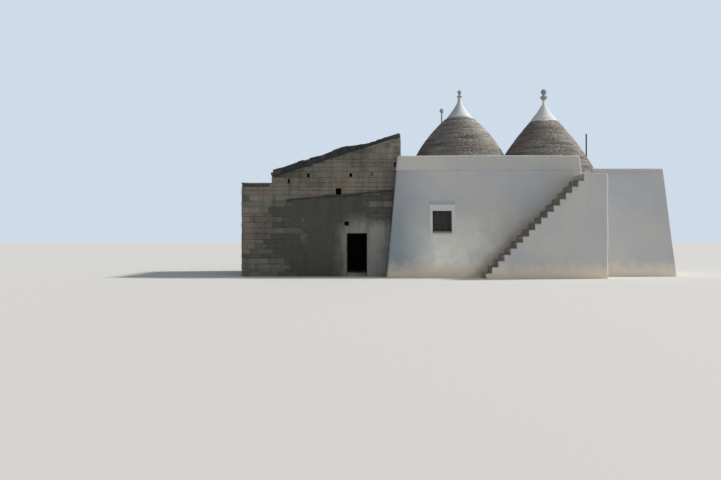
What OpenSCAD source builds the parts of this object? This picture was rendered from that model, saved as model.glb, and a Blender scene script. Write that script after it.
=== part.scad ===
// Trullo house: a whitewashed block under two corbelled stone cones, a lower wing reached by an
// outside stair, and an unplastered stone barn against the left end.
// Millimetres, +Z up, +Y towards the back. Heights are measured from the ground.

/* [House] */
// Width of the main block at the ground
house_w = 8700; // [8440:20:9200]
// Depth of the house at the ground
house_d = 7140; // [7000:20:7500]
// Inward lean of the outer wall faces for each unit of height
wall_batter = 0.09; // [0.06:0.005:0.1]
// Height of the walkable terrace
terrace_h = 4530; // [4300:10:4700]
// Thickness of the terrace slab
roof_slab_t = 350; // [250:10:450]
// Height of the parapets over the terrace
parapet_h = 670; // [400:10:800]
// Thickness of the parapets at their top
parapet_t = 320; // [240:10:360]
// Clear depth of the rooms from front to back
room_d = 4000; // [3700:20:4200]
// Thickness of the left wall at the ground
left_wall_t = 1050; // [900:10:1400]
// Thickness of the walls between the rooms
cross_wall_t = 600; // [400:10:800]
// Space between the right dome's foot and the wing's cross wall
dome_margin = 90; // [60:5:150]
// Thickness of the stone floor
floor_t = 120; // [80:10:160]

/* [Wing] */
// Width of the wing past the main block, at the ground
wing_w = 3800; // [3600:20:4800]
// Distance from the front of the main block back to the front of the wing
wing_setback = 700; // [500:10:760]
// Thickness of the wing's end wall at the ground
wing_end_t = 850; // [750:10:1000]
// Height of the kerb round the wing's part of the terrace
kerb_h = 170; // [100:10:250]
// Thickness of that kerb at its top
kerb_t = 220; // [150:10:260]

/* [Cones] */
// Distance from the left end of the house to the axis of the left cone
first_cone_x = 3540; // [3500:10:3800]
// Distance between the axes of the two cones
cone_spacing = 3950; // [3900:10:4080]
// Outer radius of a cone at the terrace
cone_base_r = 2400; // [2340:10:2460]
// Outer radius of the left cone under its pinnacle
left_cone_top_r = 710; // [660:5:740]
// Outer radius of the right cone under its pinnacle
right_cone_top_r = 645; // [635:5:740]
// Height of the left cone's stonework over the terrace
left_cone_h = 2670; // [2500:10:2900]
// Height of the right cone's stonework over the terrace
right_cone_h = 2580; // [2500:10:2900]
// How far the left cone's flank swells past a straight line
left_cone_bulge = 285; // [150:5:300]
// How far the right cone's flank swells past a straight line
right_cone_bulge = 130; // [110:5:300]
// Height of one course of roof slabs
course_h = 89; // [80:1:120]
// How far the top of a course falls towards its outer edge
course_fall = 12; // [5:1:20]
// Thickness of the outer slab cladding
cladding_t = 350; // [300:10:400]
// Inner radius of the domes at the terrace
dome_r = 1600; // [1450:10:1650]
// Height of the domes over the terrace
dome_h = 2350; // [2150:10:2400]
// Height of one corbelled ring of a dome
ring_h = 235; // [200:5:300]
// How slowly a dome closes as it rises
dome_power = 1.7; // [1.5:0.05:2]

/* [Pinnacles] */
// Radius of the mortar ring that seats a pinnacle
seat_r = 600; // [560:5:600]
// Height of that ring
seat_h = 110; // [80:5:150]
// How far that ring stands out round the bell's foot
seat_ledge = 30; // [20:5:40]
// Height at which the bell narrows to its neck
bell_h = 850; // [750:10:950]
// How fast the bell narrows: 1 is a straight cone
bell_power = 1.2; // [1:0.05:1.5]
// Radius of the left pinnacle's neck
left_neck_r = 85; // [70:5:95]
// Height of the left neck over its cone
left_neck_h = 1060; // [980:10:1100]
// Radius of the right pinnacle's neck
right_neck_r = 60; // [55:5:80]
// Height of the right neck over its cone
right_neck_h = 1010; // [970:10:1060]
// Radius of the left finial's disc
disc_r = 131; // [120:1:150]
// Thickness of that disc
disc_h = 50; // [40:5:70]
// Radius of the left finial's ball
small_ball_r = 95; // [85:1:110]
// Radius of the right finial's flared cup
cup_r = 173; // [150:1:190]
// Height of that cup
cup_h = 260; // [200:5:300]
// Radius of the right finial's ball
big_ball_r = 131; // [110:1:140]
// Radius of the finials' stems
stem_r = 50; // [35:1:55]
// Height of the left finial's stem
stem_h = 100; // [60:5:130]

/* [Openings] */
// Width of the windows
window_w = 810; // [700:10:900]
// Height of the windows
window_h = 870; // [700:10:950]
// Height of the window sills
window_z = 1930; // [1750:10:2000]
// Distance from the left end of the house to the middle of the front window
front_window_x = 2345; // [2200:5:2700]
// Width of the raised plaster band round the windows
band_w = 140; // [100:5:170]
// Height of the raised plaster band over the windows
band_top_h = 270; // [150:5:290]
// How far the band stands proud of the wall
band_t = 25; // [15:1:40]
// How far the sills and drip ledges stand proud of the wall
ledge_t = 60; // [45:5:90]
// Height of the sills
sill_h = 70; // [50:5:90]
// Height of the drip ledges
drip_h = 40; // [30:5:60]
// Distance from the band up to the drip ledge
drip_gap = 60; // [40:5:150]
// Depth from the wall's face to the window's timber frame, at the sill
reveal_d = 330; // [280:10:500]
// Width of the timber members round a window
frame_w = 60; // [45:5:80]
// Thickness of the timber frames
frame_t = 70; // [50:5:90]
// Thickness of a pane
glass_t = 6; // [4:1:10]
// Width of the door between two rooms
arch_w = 1000; // [800:10:1200]
// Height of its jambs over the floor
arch_spring_h = 1500; // [1300:10:1700]
// Width of the rear door
door_w = 1000; // [850:10:1150]
// Height of the rear door over the floor
door_h = 2050; // [1900:10:2150]
// Thickness of the rear door's planks
door_leaf_t = 45; // [35:1:60]
// Depth from the wall's face to the rear door, at the ground
door_reveal = 420; // [380:10:600]
// Length by which a lintel bears on the wall at each end
lintel_bearing = 200; // [150:10:260]
// Height of the lintels
lintel_h = 240; // [180:10:280]
// Depth of the rear door's lintel
lintel_d = 400; // [300:10:500]
// How far the rear lintel's face lies behind the wall's
lintel_inset = 15; // [5:5:30]

/* [Stair] */
// Width of the stair from the wall at the ground
stair_w = 900; // [750:10:1100]
// Distance from the left end of the house to the first riser
stair_x = 3980; // [3700:10:4100]
// Risers from the ground to the terrace
riser_count = 18; // [17:1:19]
// Depth of one step
going = 250; // [240:5:260]
// Length of the landing at the top
landing_l = 1000; // [900:10:1300]
// Depth of stone under the back of each step
step_seat = 90; // [60:5:120]
// Open joint between two steps
step_joint = 5; // [3:1:8]

/* [Barn] */
// Distance that the barn reaches past the left end of the house
barn_w = 6230; // [5900:10:6800]
// Distance from the front of the house back to the barn's front
barn_setback = 870; // [840:10:1000]
// Distance from the back of the house in to the barn's back
barn_back_inset = 500; // [460:10:800]
// Thickness of the barn's front and back walls
barn_wall_t = 680; // [500:10:800]
// Distance that the party wall laps over the end of the house
barn_lap = 640; // [600:10:800]
// Distance from the end of the house to the party wall's inner face
party_t = 500; // [350:10:700]
// Width of the flat top of the barn's left wall
barn_shelf_w = 1300; // [1000:10:1500]
// Width of the bearing for the roof beside that flat top
barn_bearing_w = 350; // [250:10:500]
// Height of the barn roof's top edge
barn_h = 6180; // [6000:10:6500]
// Slope of the barn roof
barn_pitch = 17.3; // [14:0.1:18]
// Thickness of the barn's roof of stone slabs
barn_roof_t = 150; // [100:5:200]
// Distance that the roof slabs overhang the gables
barn_roof_lip = 40; // [20:5:80]
// Height of the flat top of the barn's left wall
barn_shelf_h = 4050; // [3800:10:4100]
// Width of the barn's doorway
barn_door_w = 860; // [750:10:1000]
// Height of the barn's doorway
barn_door_h = 1850; // [1750:10:2000]
// Distance from the end of the house to the middle of the doorway
barn_door_x = 1250; // [1150:10:1500]
// Height of the drip course at its lower, left end
drip_course_z = 3250; // [3200:10:3360]
// Rise of the drip course for each unit of length
drip_course_slope = 0.09; // [0.05:0.005:0.1]
// Distance from the end of the house to where the drip course starts
drip_course_x = 4280; // [3900:10:4500]
// Distance that the drip course stands out from the wall
drip_course_t = 60; // [40:5:90]
// Width of the roof timbers
purlin_w = 140; // [110:5:180]
// Depth of the roof timbers
purlin_h = 180; // [140:5:220]
// Number of roof timbers
purlin_count = 6; // [5:1:7]
// Length of each timber that is built into a wall
purlin_bearing = 250; // [150:10:300]

/* [Pipes] */
// Radius of the flue pipe
flue_r = 40; // [35:1:50]
// Height of the flue pipe over the terrace
flue_h = 3480; // [3200:10:3700]
// Clear space between the left cone's foot and the flange of the flue
flue_gap = 128; // [60:4:200]
// Radius of the rain cowl
cowl_r = 115; // [90:1:125]
// Height of the rain cowl
cowl_h = 200; // [160:5:240]
// Radius of the vent pipe
vent_r = 35; // [28:1:45]
// Height of the vent pipe over the terrace
vent_h = 2400; // [2200:10:2600]
// Distance from the axis of the right cone to the vent pipe
vent_offset = 2810; // [2700:10:2900]
// Distance from the back parapet's inner face to the pipes
pipe_inset = 230; // [150:10:240]
// Radius of the flanges that the pipes stand on
flange_r = 80; // [70:1:100]
// Thickness of those flanges
flange_t = 12; // [8:1:16]

/* [Hidden] */
$fn = 96;

limewash = [0.9, 0.9, 0.88];
cone_stone = [0.42, 0.39, 0.35];
barn_stone = [0.52, 0.48, 0.41];
floor_stone = [0.66, 0.61, 0.53];
dark_timber = [0.2, 0.17, 0.14];
old_timber = [0.36, 0.28, 0.2];
pane_grey = [0.12, 0.13, 0.14];
dull_iron = [0.25, 0.24, 0.23];

// A cut runs past the faces that it opens by this much
over = 50;

total_w = house_w + wing_w;
wall_top = terrace_h - roof_slab_t;
parapet_top = terrace_h + parapet_h;
kerb_top = terrace_h + kerb_h;
front_y = -house_d / 2;
back_y = house_d / 2;
room_half = room_d / 2;
second_cone_x = first_cone_x + cone_spacing;
cone_mid_x = first_cone_x + cone_spacing / 2;
// Each cone's axis, height, radius at the top and swell
left_cone = [first_cone_x, left_cone_h, left_cone_top_r, left_cone_bulge];
right_cone = [second_cone_x, right_cone_h, right_cone_top_r, right_cone_bulge];
riser = terrace_h / riser_count;
step_count = riser_count - 2;
stair_top_x = stair_x + step_count * going;
landing_z = (riser_count - 1) * riser;
room_wall_x = cone_mid_x - cross_wall_t / 2;
wing_wall_x = second_cone_x + dome_r + dome_margin;
wing_back_x = wing_wall_x + cross_wall_t / 2;
barn_front_y = front_y + barn_setback;
barn_back_y = back_y - barn_back_inset;
barn_fall = tan(barn_pitch);
barn_bearing_x = -barn_w + barn_shelf_w;
barn_inner_x = barn_bearing_x + barn_bearing_w;

// The origin lies on the ground, in the middle of the whole outline
site_x = (total_w - barn_w) / 2;
site_y = (front_y - stair_w + back_y) / 2;

function lean(z) = wall_batter * z;
// Outer radius of a cone at the share u of its height
function cone_r(cone, u) =
    cone_base_r + (cone[2] - cone_base_r) * u + cone[3] * 4 * u * (1 - u);
function dome_inner_r(z) = dome_r * (1 - pow(z / dome_h, dome_power));
function bell_r(t, neck_r) = neck_r + (seat_r - neck_r - seat_ledge) * pow(1 - t, bell_power);
// Height of the underside of the barn's roof
function eaves_z(x) = barn_h - barn_roof_t - (barn_lap - x) * barn_fall;
function drip_z(x) = drip_course_z + (x + drip_course_x) * drip_course_slope;
function flight_z(x) = (x - stair_x) * riser / going - step_seat;

module site() {
    translate([-site_x, -site_y, 0]) children();
}

// An outline in X and Z, drawn out from y0 to y1
module along_y(points, y0, y1) {
    translate([0, y1, 0]) rotate([90, 0, 0]) linear_extrude(y1 - y0) polygon(points);
}

// An outline in Y and Z, drawn out from x0 to x1
module along_x(points, x0, x1) {
    translate([x0, 0, 0]) rotate([90, 0, 90]) linear_extrude(x1 - x0) polygon(points);
}

module block(x0, x1, y0, y1, z0, z1) {
    translate([x0, y0, z0]) cube([x1 - x0, y1 - y0, z1 - z0]);
}

// The battered mass of the main block between two heights; grow moves its faces outwards
module house_mass(z0, z1, grow = 0) {
    intersection() {
        along_y([
            [lean(z0) - grow, z0], [house_w - lean(z0) + grow, z0],
            [house_w - lean(z1) + grow, z1], [lean(z1) - grow, z1]
        ], front_y - house_d, back_y + house_d);
        along_x([
            [front_y + lean(z0) - grow, z0], [back_y - lean(z0) + grow, z0],
            [back_y - lean(z1) + grow, z1], [front_y + lean(z1) - grow, z1]
        ], -house_w, 2 * house_w);
    }
}

// The battered mass of the wing, which runs on into the main block
module wing_mass(z0, z1, grow = 0) {
    wing_y = front_y + wing_setback;
    intersection() {
        along_y([
            [house_w / 2, z0], [total_w - lean(z0) + grow, z0],
            [total_w - lean(z1) + grow, z1], [house_w / 2, z1]
        ], front_y - house_d, back_y + house_d);
        along_x([
            [wing_y + lean(z0) - grow, z0], [back_y - lean(z0) + grow, z0],
            [back_y - lean(z1) + grow, z1], [wing_y + lean(z1) - grow, z1]
        ], 0, 2 * total_w);
    }
}

module front_zone(x0, x1) {
    block(x0, x1, front_y - house_d, -room_half, -over, parapet_top);
}

module back_zone(x0, x1) {
    block(x0, x1, room_half, back_y + house_d, -over, parapet_top);
}

module middle_zone(x0, x1) {
    block(x0, x1, -room_half, room_half, -over, parapet_top);
}

// A window-sized box through the front or back wall; grow widens it
module window_box(x, y0, y1, side = 0, top = 0, bottom = 0) {
    block(
        x - window_w / 2 - side, x + window_w / 2 + side, y0, y1,
        window_z - bottom, window_z + window_h + top
    );
}

// Draws its children for the front window and again, turned about, for the rear one
module both_windows() {
    children();
    translate([front_window_x + first_cone_x, 0, 0]) rotate([0, 0, 180]) children();
}

module house_floor() {
    color(floor_stone) site()
        block(left_wall_t, total_w - wing_end_t, -room_half, room_half, 0, floor_t);
}

module front_wall() {
    color(limewash) site() difference() {
        intersection() {
            house_mass(0, wall_top);
            front_zone(-over, total_w);
        }
        window_box(front_window_x, front_y - over, -room_half + over);
    }
}

module left_wall() {
    color(limewash) site() intersection() {
        house_mass(0, wall_top);
        middle_zone(-over, left_wall_t);
    }
}

module rear_door_hole(y0, y1) {
    block(
        second_cone_x - door_w / 2, second_cone_x + door_w / 2, y0, y1,
        floor_t, floor_t + door_h
    );
}

module rear_lintel_block() {
    half = door_w / 2 + lintel_bearing;
    y1 = back_y - lean(floor_t + door_h + lintel_h) - lintel_inset;
    block(
        second_cone_x - half, second_cone_x + half, y1 - lintel_d, y1,
        floor_t + door_h, floor_t + door_h + lintel_h
    );
}

module back_wall() {
    color(limewash) site() difference() {
        intersection() {
            union() {
                house_mass(0, wall_top);
                wing_mass(0, wall_top);
            }
            back_zone(-over, wing_back_x);
        }
        rear_door_hole(room_half - over, back_y + over);
        rear_lintel_block();
        window_box(first_cone_x, room_half - over, back_y + over);
    }
}

module wing_front_wall() {
    color(limewash) site() intersection() {
        difference() {
            wing_mass(0, wall_top);
            house_mass(-over, wall_top + over);
        }
        front_zone(house_w / 2, total_w + over);
    }
}

module wing_end_wall() {
    color(limewash) site() intersection() {
        wing_mass(0, wall_top);
        middle_zone(total_w - wing_end_t, total_w + over);
    }
}

module wing_back_wall() {
    color(limewash) site() intersection() {
        wing_mass(0, wall_top);
        back_zone(wing_back_x, total_w + over);
    }
}

// A wall across the house with an arched doorway in its middle
module cross_wall(x) {
    spring_z = floor_t + arch_spring_h;
    difference() {
        block(x, x + cross_wall_t, -room_half, room_half, floor_t, wall_top);
        block(x - over, x + cross_wall_t + over, -arch_w / 2, arch_w / 2, floor_t - over, spring_z);
        translate([x - over, 0, spring_z]) rotate([0, 90, 0])
            cylinder(r = arch_w / 2, h = cross_wall_t + 2 * over);
    }
}

module room_cross_wall() {
    color(limewash) site() cross_wall(room_wall_x);
}

module wing_cross_wall() {
    color(limewash) site() cross_wall(wing_wall_x);
}

module roof_terrace() {
    color(floor_stone) site() difference() {
        union() {
            house_mass(wall_top, terrace_h);
            wing_mass(wall_top, terrace_h);
        }
        for (x = [first_cone_x, second_cone_x])
            translate([x, 0, wall_top - over]) cylinder(r = dome_r, h = roof_slab_t + 2 * over);
    }
}

module front_parapet() {
    color(limewash) site() difference() {
        house_mass(terrace_h, parapet_top);
        block(
            -over, total_w, front_y + lean(parapet_top) + parapet_t, back_y + over,
            terrace_h - over, parapet_top + over
        );
    }
}

module back_parapet() {
    color(limewash) site() difference() {
        house_mass(terrace_h, parapet_top);
        block(
            -over, total_w, front_y - over, back_y - lean(parapet_top) - parapet_t,
            terrace_h - over, parapet_top + over
        );
        block(
            -over, barn_lap, barn_front_y, barn_back_y,
            terrace_h - over, parapet_top + over
        );
    }
}

// Low kerb on the wing's open sides, left out where the stair arrives
module wing_kerb() {
    color(limewash) site() difference() {
        wing_mass(terrace_h, kerb_top);
        along_y([
            [0, terrace_h - over], [house_w - lean(terrace_h - over), terrace_h - over],
            [house_w - lean(kerb_top + over), kerb_top + over], [0, kerb_top + over]
        ], front_y, back_y);
        block(
            0, total_w - lean(kerb_top) - kerb_t,
            front_y + wing_setback + lean(kerb_top) + kerb_t, back_y - lean(kerb_top) - kerb_t,
            terrace_h - over, kerb_top + over
        );
        block(
            0, stair_top_x + landing_l, front_y - house_d, 0,
            terrace_h - over, kerb_top + over
        );
    }
}

// Keeps the side of a cone that lies away from the other cone
module cone_half(x) {
    reach = 2 * cone_base_r;
    side = x < cone_mid_x ? 0 : 1;
    intersection() {
        children();
        block(
            side ? cone_mid_x : x - reach, side ? x + reach : cone_mid_x,
            -reach, reach, terrace_h - over, terrace_h + reach
        );
    }
}

// Where the dome's stones meet the slab cladding, from the top down
function shell_line(cone) = [
    for (j = [10 : -1 : 0]) [cone_r(cone, j / 10) - cladding_t, cone[1] * j / 10]
];

// Corbelled dome: level rings that each reach further in, under a closing slab
module inner_dome(cone) {
    rings = round(dome_h / ring_h);
    step = dome_h / rings;
    stepped = [
        for (i = [0 : rings - 1]) for (k = [0, 1]) [dome_inner_r(i * step), (i + k) * step]
    ];
    cone_half(cone[0]) translate([cone[0], 0, terrace_h]) rotate_extrude()
        polygon(concat(stepped, [[0, dome_h], [0, cone[1]]], shell_line(cone)));
}

// Slab cladding: one level course on another, each set back from the one below
module cone_cladding(cone) {
    courses = round(cone[1] / course_h);
    step = cone[1] / courses;
    stepped = [
        for (i = [0 : courses - 1]) for (k = [0, 1])
            [cone_r(cone, i / courses), (i + k) * step - k * course_fall]
    ];
    cone_half(cone[0]) translate([cone[0], 0, terrace_h]) rotate_extrude()
        polygon(concat(stepped, [[cone[2], cone[1]]], shell_line(cone)));
}

module left_inner_dome() {
    color(floor_stone) site() inner_dome(left_cone);
}

module right_inner_dome() {
    color(floor_stone) site() inner_dome(right_cone);
}

module left_cone_cladding() {
    color(cone_stone) site() cone_cladding(left_cone);
}

module right_cone_cladding() {
    color(cone_stone) site() cone_cladding(right_cone);
}

// Mortar ring and bell that cap a cone, drawn out into a neck
module pinnacle(neck_r, neck_h) {
    bell_steps = 12;
    bell = [
        for (j = [0 : bell_steps])
            [bell_r(j / bell_steps, neck_r), seat_h + (bell_h - seat_h) * j / bell_steps]
    ];
    rotate_extrude() polygon(concat(
        [[0, 0], [seat_r, 0], [seat_r, seat_h]], bell, [[neck_r, neck_h], [0, neck_h]]
    ));
}

module left_pinnacle() {
    color(limewash) site()
        translate([first_cone_x, 0, terrace_h + left_cone_h])
            pinnacle(left_neck_r, left_neck_h);
}

module right_pinnacle() {
    color(limewash) site()
        translate([second_cone_x, 0, terrace_h + right_cone_h])
            pinnacle(right_neck_r, right_neck_h);
}

// A disc, a stem and a ball
module left_finial() {
    color(limewash) site()
        translate([first_cone_x, 0, terrace_h + left_cone_h + left_neck_h]) {
            cylinder(r = disc_r, h = disc_h);
            cylinder(r = stem_r, h = disc_h + stem_h);
            translate([0, 0, disc_h + stem_h + small_ball_r * 0.9]) sphere(r = small_ball_r);
        }
}

// Two flared cups, rim to rim, that hold a ball
module right_finial() {
    rim_half = 15;
    color(limewash) site()
        translate([second_cone_x, 0, terrace_h + right_cone_h + right_neck_h]) {
            rotate_extrude() polygon([
                [0, 0], [right_neck_r, 0], [cup_r, cup_h / 2 - rim_half],
                [cup_r, cup_h / 2 + rim_half], [stem_r, cup_h], [0, cup_h]
            ]);
            translate([0, 0, cup_h + big_ball_r * 0.95]) sphere(r = big_ball_r);
        }
}

module window_bands() {
    color(limewash) site() both_windows() difference() {
        intersection() {
            house_mass(0, wall_top, band_t);
            window_box(
                front_window_x, front_y - house_d, -room_half,
                side = band_w, top = band_top_h, bottom = band_w
            );
        }
        house_mass(-over, wall_top + over);
        window_box(front_window_x, front_y - house_d, -room_half, bottom = sill_h);
    }
}

module window_sills() {
    color(floor_stone) site() both_windows() intersection() {
        difference() {
            house_mass(0, wall_top, ledge_t);
            house_mass(-over, wall_top + over);
        }
        block(
            front_window_x - window_w / 2, front_window_x + window_w / 2,
            front_y - house_d, -room_half, window_z - sill_h, window_z
        );
    }
}

module window_drip_ledges() {
    z = window_z + window_h + band_top_h + drip_gap;
    half = window_w / 2 + band_w;
    color(limewash) site() both_windows() intersection() {
        difference() {
            house_mass(0, wall_top, ledge_t);
            house_mass(-over, wall_top + over);
        }
        block(
            front_window_x - half, front_window_x + half,
            front_y - house_d, -room_half, z, z + drip_h
        );
    }
}

frame_y = front_y + lean(window_z) + reveal_d;

module window_frames() {
    color(dark_timber) site() both_windows() difference() {
        window_box(front_window_x, frame_y, frame_y + frame_t);
        window_box(
            front_window_x, frame_y - over, frame_y + frame_t + over,
            side = -frame_w, top = -frame_w, bottom = -frame_w
        );
    }
}

module window_glass() {
    pane_y = frame_y + (frame_t - glass_t) / 2;
    color(pane_grey) site() both_windows() window_box(
        front_window_x, pane_y, pane_y + glass_t,
        side = -frame_w, top = -frame_w, bottom = -frame_w
    );
}

door_y = back_y - door_reveal;

module rear_door_frame() {
    color(dark_timber) site() difference() {
        rear_door_hole(door_y - frame_t, door_y);
        block(
            second_cone_x - door_w / 2 + frame_w, second_cone_x + door_w / 2 - frame_w,
            door_y - frame_t - over, door_y + over, floor_t - over, floor_t + door_h - frame_w
        );
    }
}

module rear_door() {
    color(old_timber) site() block(
        second_cone_x - door_w / 2 + frame_w, second_cone_x + door_w / 2 - frame_w,
        door_y - door_leaf_t, door_y, floor_t, floor_t + door_h - frame_w
    );
}

module rear_door_lintel() {
    color(floor_stone) site() rear_lintel_block();
}

// Everything that the stair leans against
module house_and_wing() {
    house_mass(-over, terrace_h + over);
    wing_mass(-over, terrace_h + over);
}

module stair_masonry() {
    foot_x = stair_x + step_seat * going / riser;
    color(limewash) site() difference() {
        along_y(
            [[foot_x, 0], [stair_top_x, 0], [stair_top_x, flight_z(stair_top_x)]],
            front_y - stair_w, -room_half
        );
        house_and_wing();
    }
}

// Step i as a block on the sloping masonry, with an open joint behind it
module step_block(i) {
    x0 = stair_x + i * going;
    x1 = x0 + going - step_joint;
    z1 = (i + 1) * riser;
    foot_x = stair_x + step_seat * going / riser;
    bed = i == 0 ? [[foot_x, 0], [x0, 0]] : [[x0, flight_z(x0)]];
    along_y(
        concat([[x0, z1], [x1, z1], [x1, flight_z(x1)]], bed),
        front_y - stair_w, -room_half
    );
}

module stair_steps() {
    color(floor_stone) site() difference() {
        for (i = [0 : step_count - 1]) step_block(i);
        house_and_wing();
    }
}

module stair_landing() {
    color(limewash) site() difference() {
        block(
            stair_top_x, stair_top_x + landing_l, front_y - stair_w, -room_half,
            0, landing_z
        );
        house_and_wing();
    }
}

pipe_y = back_y - lean(parapet_top) - parapet_t - pipe_inset;
vent_x = second_cone_x + vent_offset;
// The flue stands beside the left cone's foot, to the left of its axis
flue_reach = cone_base_r + flange_r + flue_gap;
flue_x = first_cone_x - sqrt(max(0, pow(flue_reach, 2) - pow(pipe_y, 2)));

module standing_pipe(x, r, h) {
    translate([x, pipe_y, terrace_h]) {
        cylinder(r = flange_r, h = flange_t);
        cylinder(r = r, h = h);
    }
}

module flue_pipe() {
    color(dull_iron) site() standing_pipe(flue_x, flue_r, flue_h);
}

module flue_cowl() {
    color(dull_iron) site() translate([flue_x, pipe_y, terrace_h + flue_h]) {
        cylinder(r = cowl_r, h = cowl_h * 0.6);
        translate([0, 0, cowl_h * 0.6]) cylinder(r1 = cowl_r, r2 = cowl_r * 0.3, h = cowl_h * 0.4);
    }
}

module vent_pipe() {
    color(dull_iron) site() standing_pipe(vent_x, vent_r, vent_h);
}

module barn_floor() {
    color(floor_stone) site() block(
        barn_inner_x, -party_t, barn_front_y + barn_wall_t, barn_back_y - barn_wall_t,
        0, floor_t
    );
}

// Outline of a gable: flat over the left wall, then up under the roof, and cut to the house's batter
gable_outline = [
    [-barn_w, 0], [0, 0], [lean(terrace_h), terrace_h], [barn_lap, terrace_h],
    [barn_lap, eaves_z(barn_lap)], [barn_bearing_x, eaves_z(barn_bearing_x)],
    [barn_bearing_x, barn_shelf_h], [-barn_w, barn_shelf_h]
];

purlin_span = -party_t - barn_inner_x;

// Roof timbers under the slabs, with their ends in the gables
module purlin_set(bearing) {
    for (i = [0 : purlin_count - 1]) {
        x = barn_inner_x + (i + 0.5) * purlin_span / purlin_count;
        along_y(
            [
                [x - purlin_w / 2, eaves_z(x - purlin_w / 2)],
                [x - purlin_w / 2, eaves_z(x) - purlin_h],
                [x + purlin_w / 2, eaves_z(x) - purlin_h],
                [x + purlin_w / 2, eaves_z(x + purlin_w / 2)]
            ],
            barn_front_y + barn_wall_t - bearing, barn_back_y - barn_wall_t + bearing
        );
    }
}

// Vent and scaffold holes of the gable: [left of the house, height, width, height of the hole]
vent_holes = [
    [4190, 4005, 100, 200], [3350, 4270, 115, 180], [1515, 4300, 140, 150],
    [610, 4345, 140, 140], [2050, 3530, 250, 270], [1700, 2205, 190, 160],
    [-390, 4690, 90, 330]
];

module barn_door_hole() {
    block(
        -barn_door_x - barn_door_w / 2, -barn_door_x + barn_door_w / 2,
        barn_front_y - over, barn_front_y + barn_wall_t + over, -over, barn_door_h
    );
}

module barn_lintel_block() {
    half = barn_door_w / 2 + lintel_bearing;
    block(
        -barn_door_x - half, -barn_door_x + half,
        barn_front_y, barn_front_y + barn_wall_t, barn_door_h, barn_door_h + lintel_h
    );
}

module barn_front_wall() {
    color(barn_stone) site() difference() {
        along_y(gable_outline, barn_front_y, barn_front_y + barn_wall_t);
        barn_door_hole();
        barn_lintel_block();
        purlin_set(purlin_bearing);
        for (v = vent_holes)
            block(
                -v[0] - v[2] / 2, -v[0] + v[2] / 2,
                barn_front_y - over, barn_front_y + barn_wall_t + over, v[1], v[1] + v[3]
            );
    }
}

module barn_back_wall() {
    color(barn_stone) site() difference() {
        along_y(gable_outline, barn_back_y - barn_wall_t, barn_back_y);
        purlin_set(purlin_bearing);
    }
}

module barn_left_wall() {
    color(barn_stone) site() along_y(
        [
            [-barn_w, 0], [barn_inner_x, 0], [barn_inner_x, eaves_z(barn_inner_x)],
            [barn_bearing_x, eaves_z(barn_bearing_x)], [barn_bearing_x, barn_shelf_h],
            [-barn_w, barn_shelf_h]
        ],
        barn_front_y + barn_wall_t, barn_back_y - barn_wall_t
    );
}

module barn_party_wall() {
    color(barn_stone) site() along_y(
        [
            [-party_t, 0], [0, 0], [lean(terrace_h), terrace_h], [barn_lap, terrace_h],
            [barn_lap, eaves_z(barn_lap)], [-party_t, eaves_z(-party_t)]
        ],
        barn_front_y + barn_wall_t, barn_back_y - barn_wall_t
    );
}

module barn_door_lintel() {
    color(floor_stone) site() barn_lintel_block();
}

// A thin course that sheds rain over the joint between the barn's two builds
module barn_drip_course() {
    z1 = drip_z(0) / (1 - drip_course_slope * wall_batter);
    t = drip_course_t;
    color(barn_stone) site() along_y(
        [
            [-drip_course_x, drip_course_z], [lean(z1), z1], [lean(z1 + t), z1 + t],
            [-drip_course_x, drip_course_z + t]
        ],
        barn_front_y - t, barn_front_y
    );
}

module barn_purlins() {
    color(old_timber) site() purlin_set(purlin_bearing);
}

module barn_roof_slabs() {
    color(cone_stone) site() along_y(
        [
            [barn_bearing_x, eaves_z(barn_bearing_x)], [barn_lap, eaves_z(barn_lap)],
            [barn_lap, barn_h], [barn_bearing_x, eaves_z(barn_bearing_x) + barn_roof_t]
        ],
        barn_front_y - barn_roof_lip, barn_back_y + barn_roof_lip
    );
}

house_floor();
front_wall();
left_wall();
back_wall();
wing_front_wall();
wing_end_wall();
wing_back_wall();
room_cross_wall();
wing_cross_wall();
roof_terrace();
front_parapet();
back_parapet();
wing_kerb();
left_inner_dome();
right_inner_dome();
left_cone_cladding();
right_cone_cladding();
left_pinnacle();
right_pinnacle();
left_finial();
right_finial();
window_bands();
window_sills();
window_drip_ledges();
window_frames();
window_glass();
rear_door_frame();
rear_door();
rear_door_lintel();
stair_masonry();
stair_steps();
stair_landing();
flue_pipe();
flue_cowl();
vent_pipe();
barn_floor();
barn_front_wall();
barn_back_wall();
barn_left_wall();
barn_party_wall();
barn_door_lintel();
barn_drip_course();
barn_purlins();
barn_roof_slabs();
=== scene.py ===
# Trullo house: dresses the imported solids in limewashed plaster, laid stone, timber and iron.
# Lengths are metres. Places on the house count from its left end, from the line through the
# two cones and from the ground; siteShift moves them into the shared frame.
import math
import bpy
import bmesh
import numpy as np
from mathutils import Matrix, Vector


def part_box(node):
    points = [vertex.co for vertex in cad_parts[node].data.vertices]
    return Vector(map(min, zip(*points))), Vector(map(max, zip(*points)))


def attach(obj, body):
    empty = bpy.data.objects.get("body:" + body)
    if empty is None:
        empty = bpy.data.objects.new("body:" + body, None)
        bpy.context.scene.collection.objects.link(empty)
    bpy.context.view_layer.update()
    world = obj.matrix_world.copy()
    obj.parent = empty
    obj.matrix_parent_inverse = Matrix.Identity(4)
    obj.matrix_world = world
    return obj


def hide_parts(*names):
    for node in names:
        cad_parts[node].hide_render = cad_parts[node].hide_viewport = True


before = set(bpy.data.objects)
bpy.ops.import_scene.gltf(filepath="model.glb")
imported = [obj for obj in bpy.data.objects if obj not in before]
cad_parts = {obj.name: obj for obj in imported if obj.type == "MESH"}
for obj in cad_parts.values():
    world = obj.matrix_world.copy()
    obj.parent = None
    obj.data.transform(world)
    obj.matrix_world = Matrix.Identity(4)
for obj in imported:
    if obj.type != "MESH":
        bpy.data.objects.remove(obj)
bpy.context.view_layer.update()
chance = np.random.default_rng(11)
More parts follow.
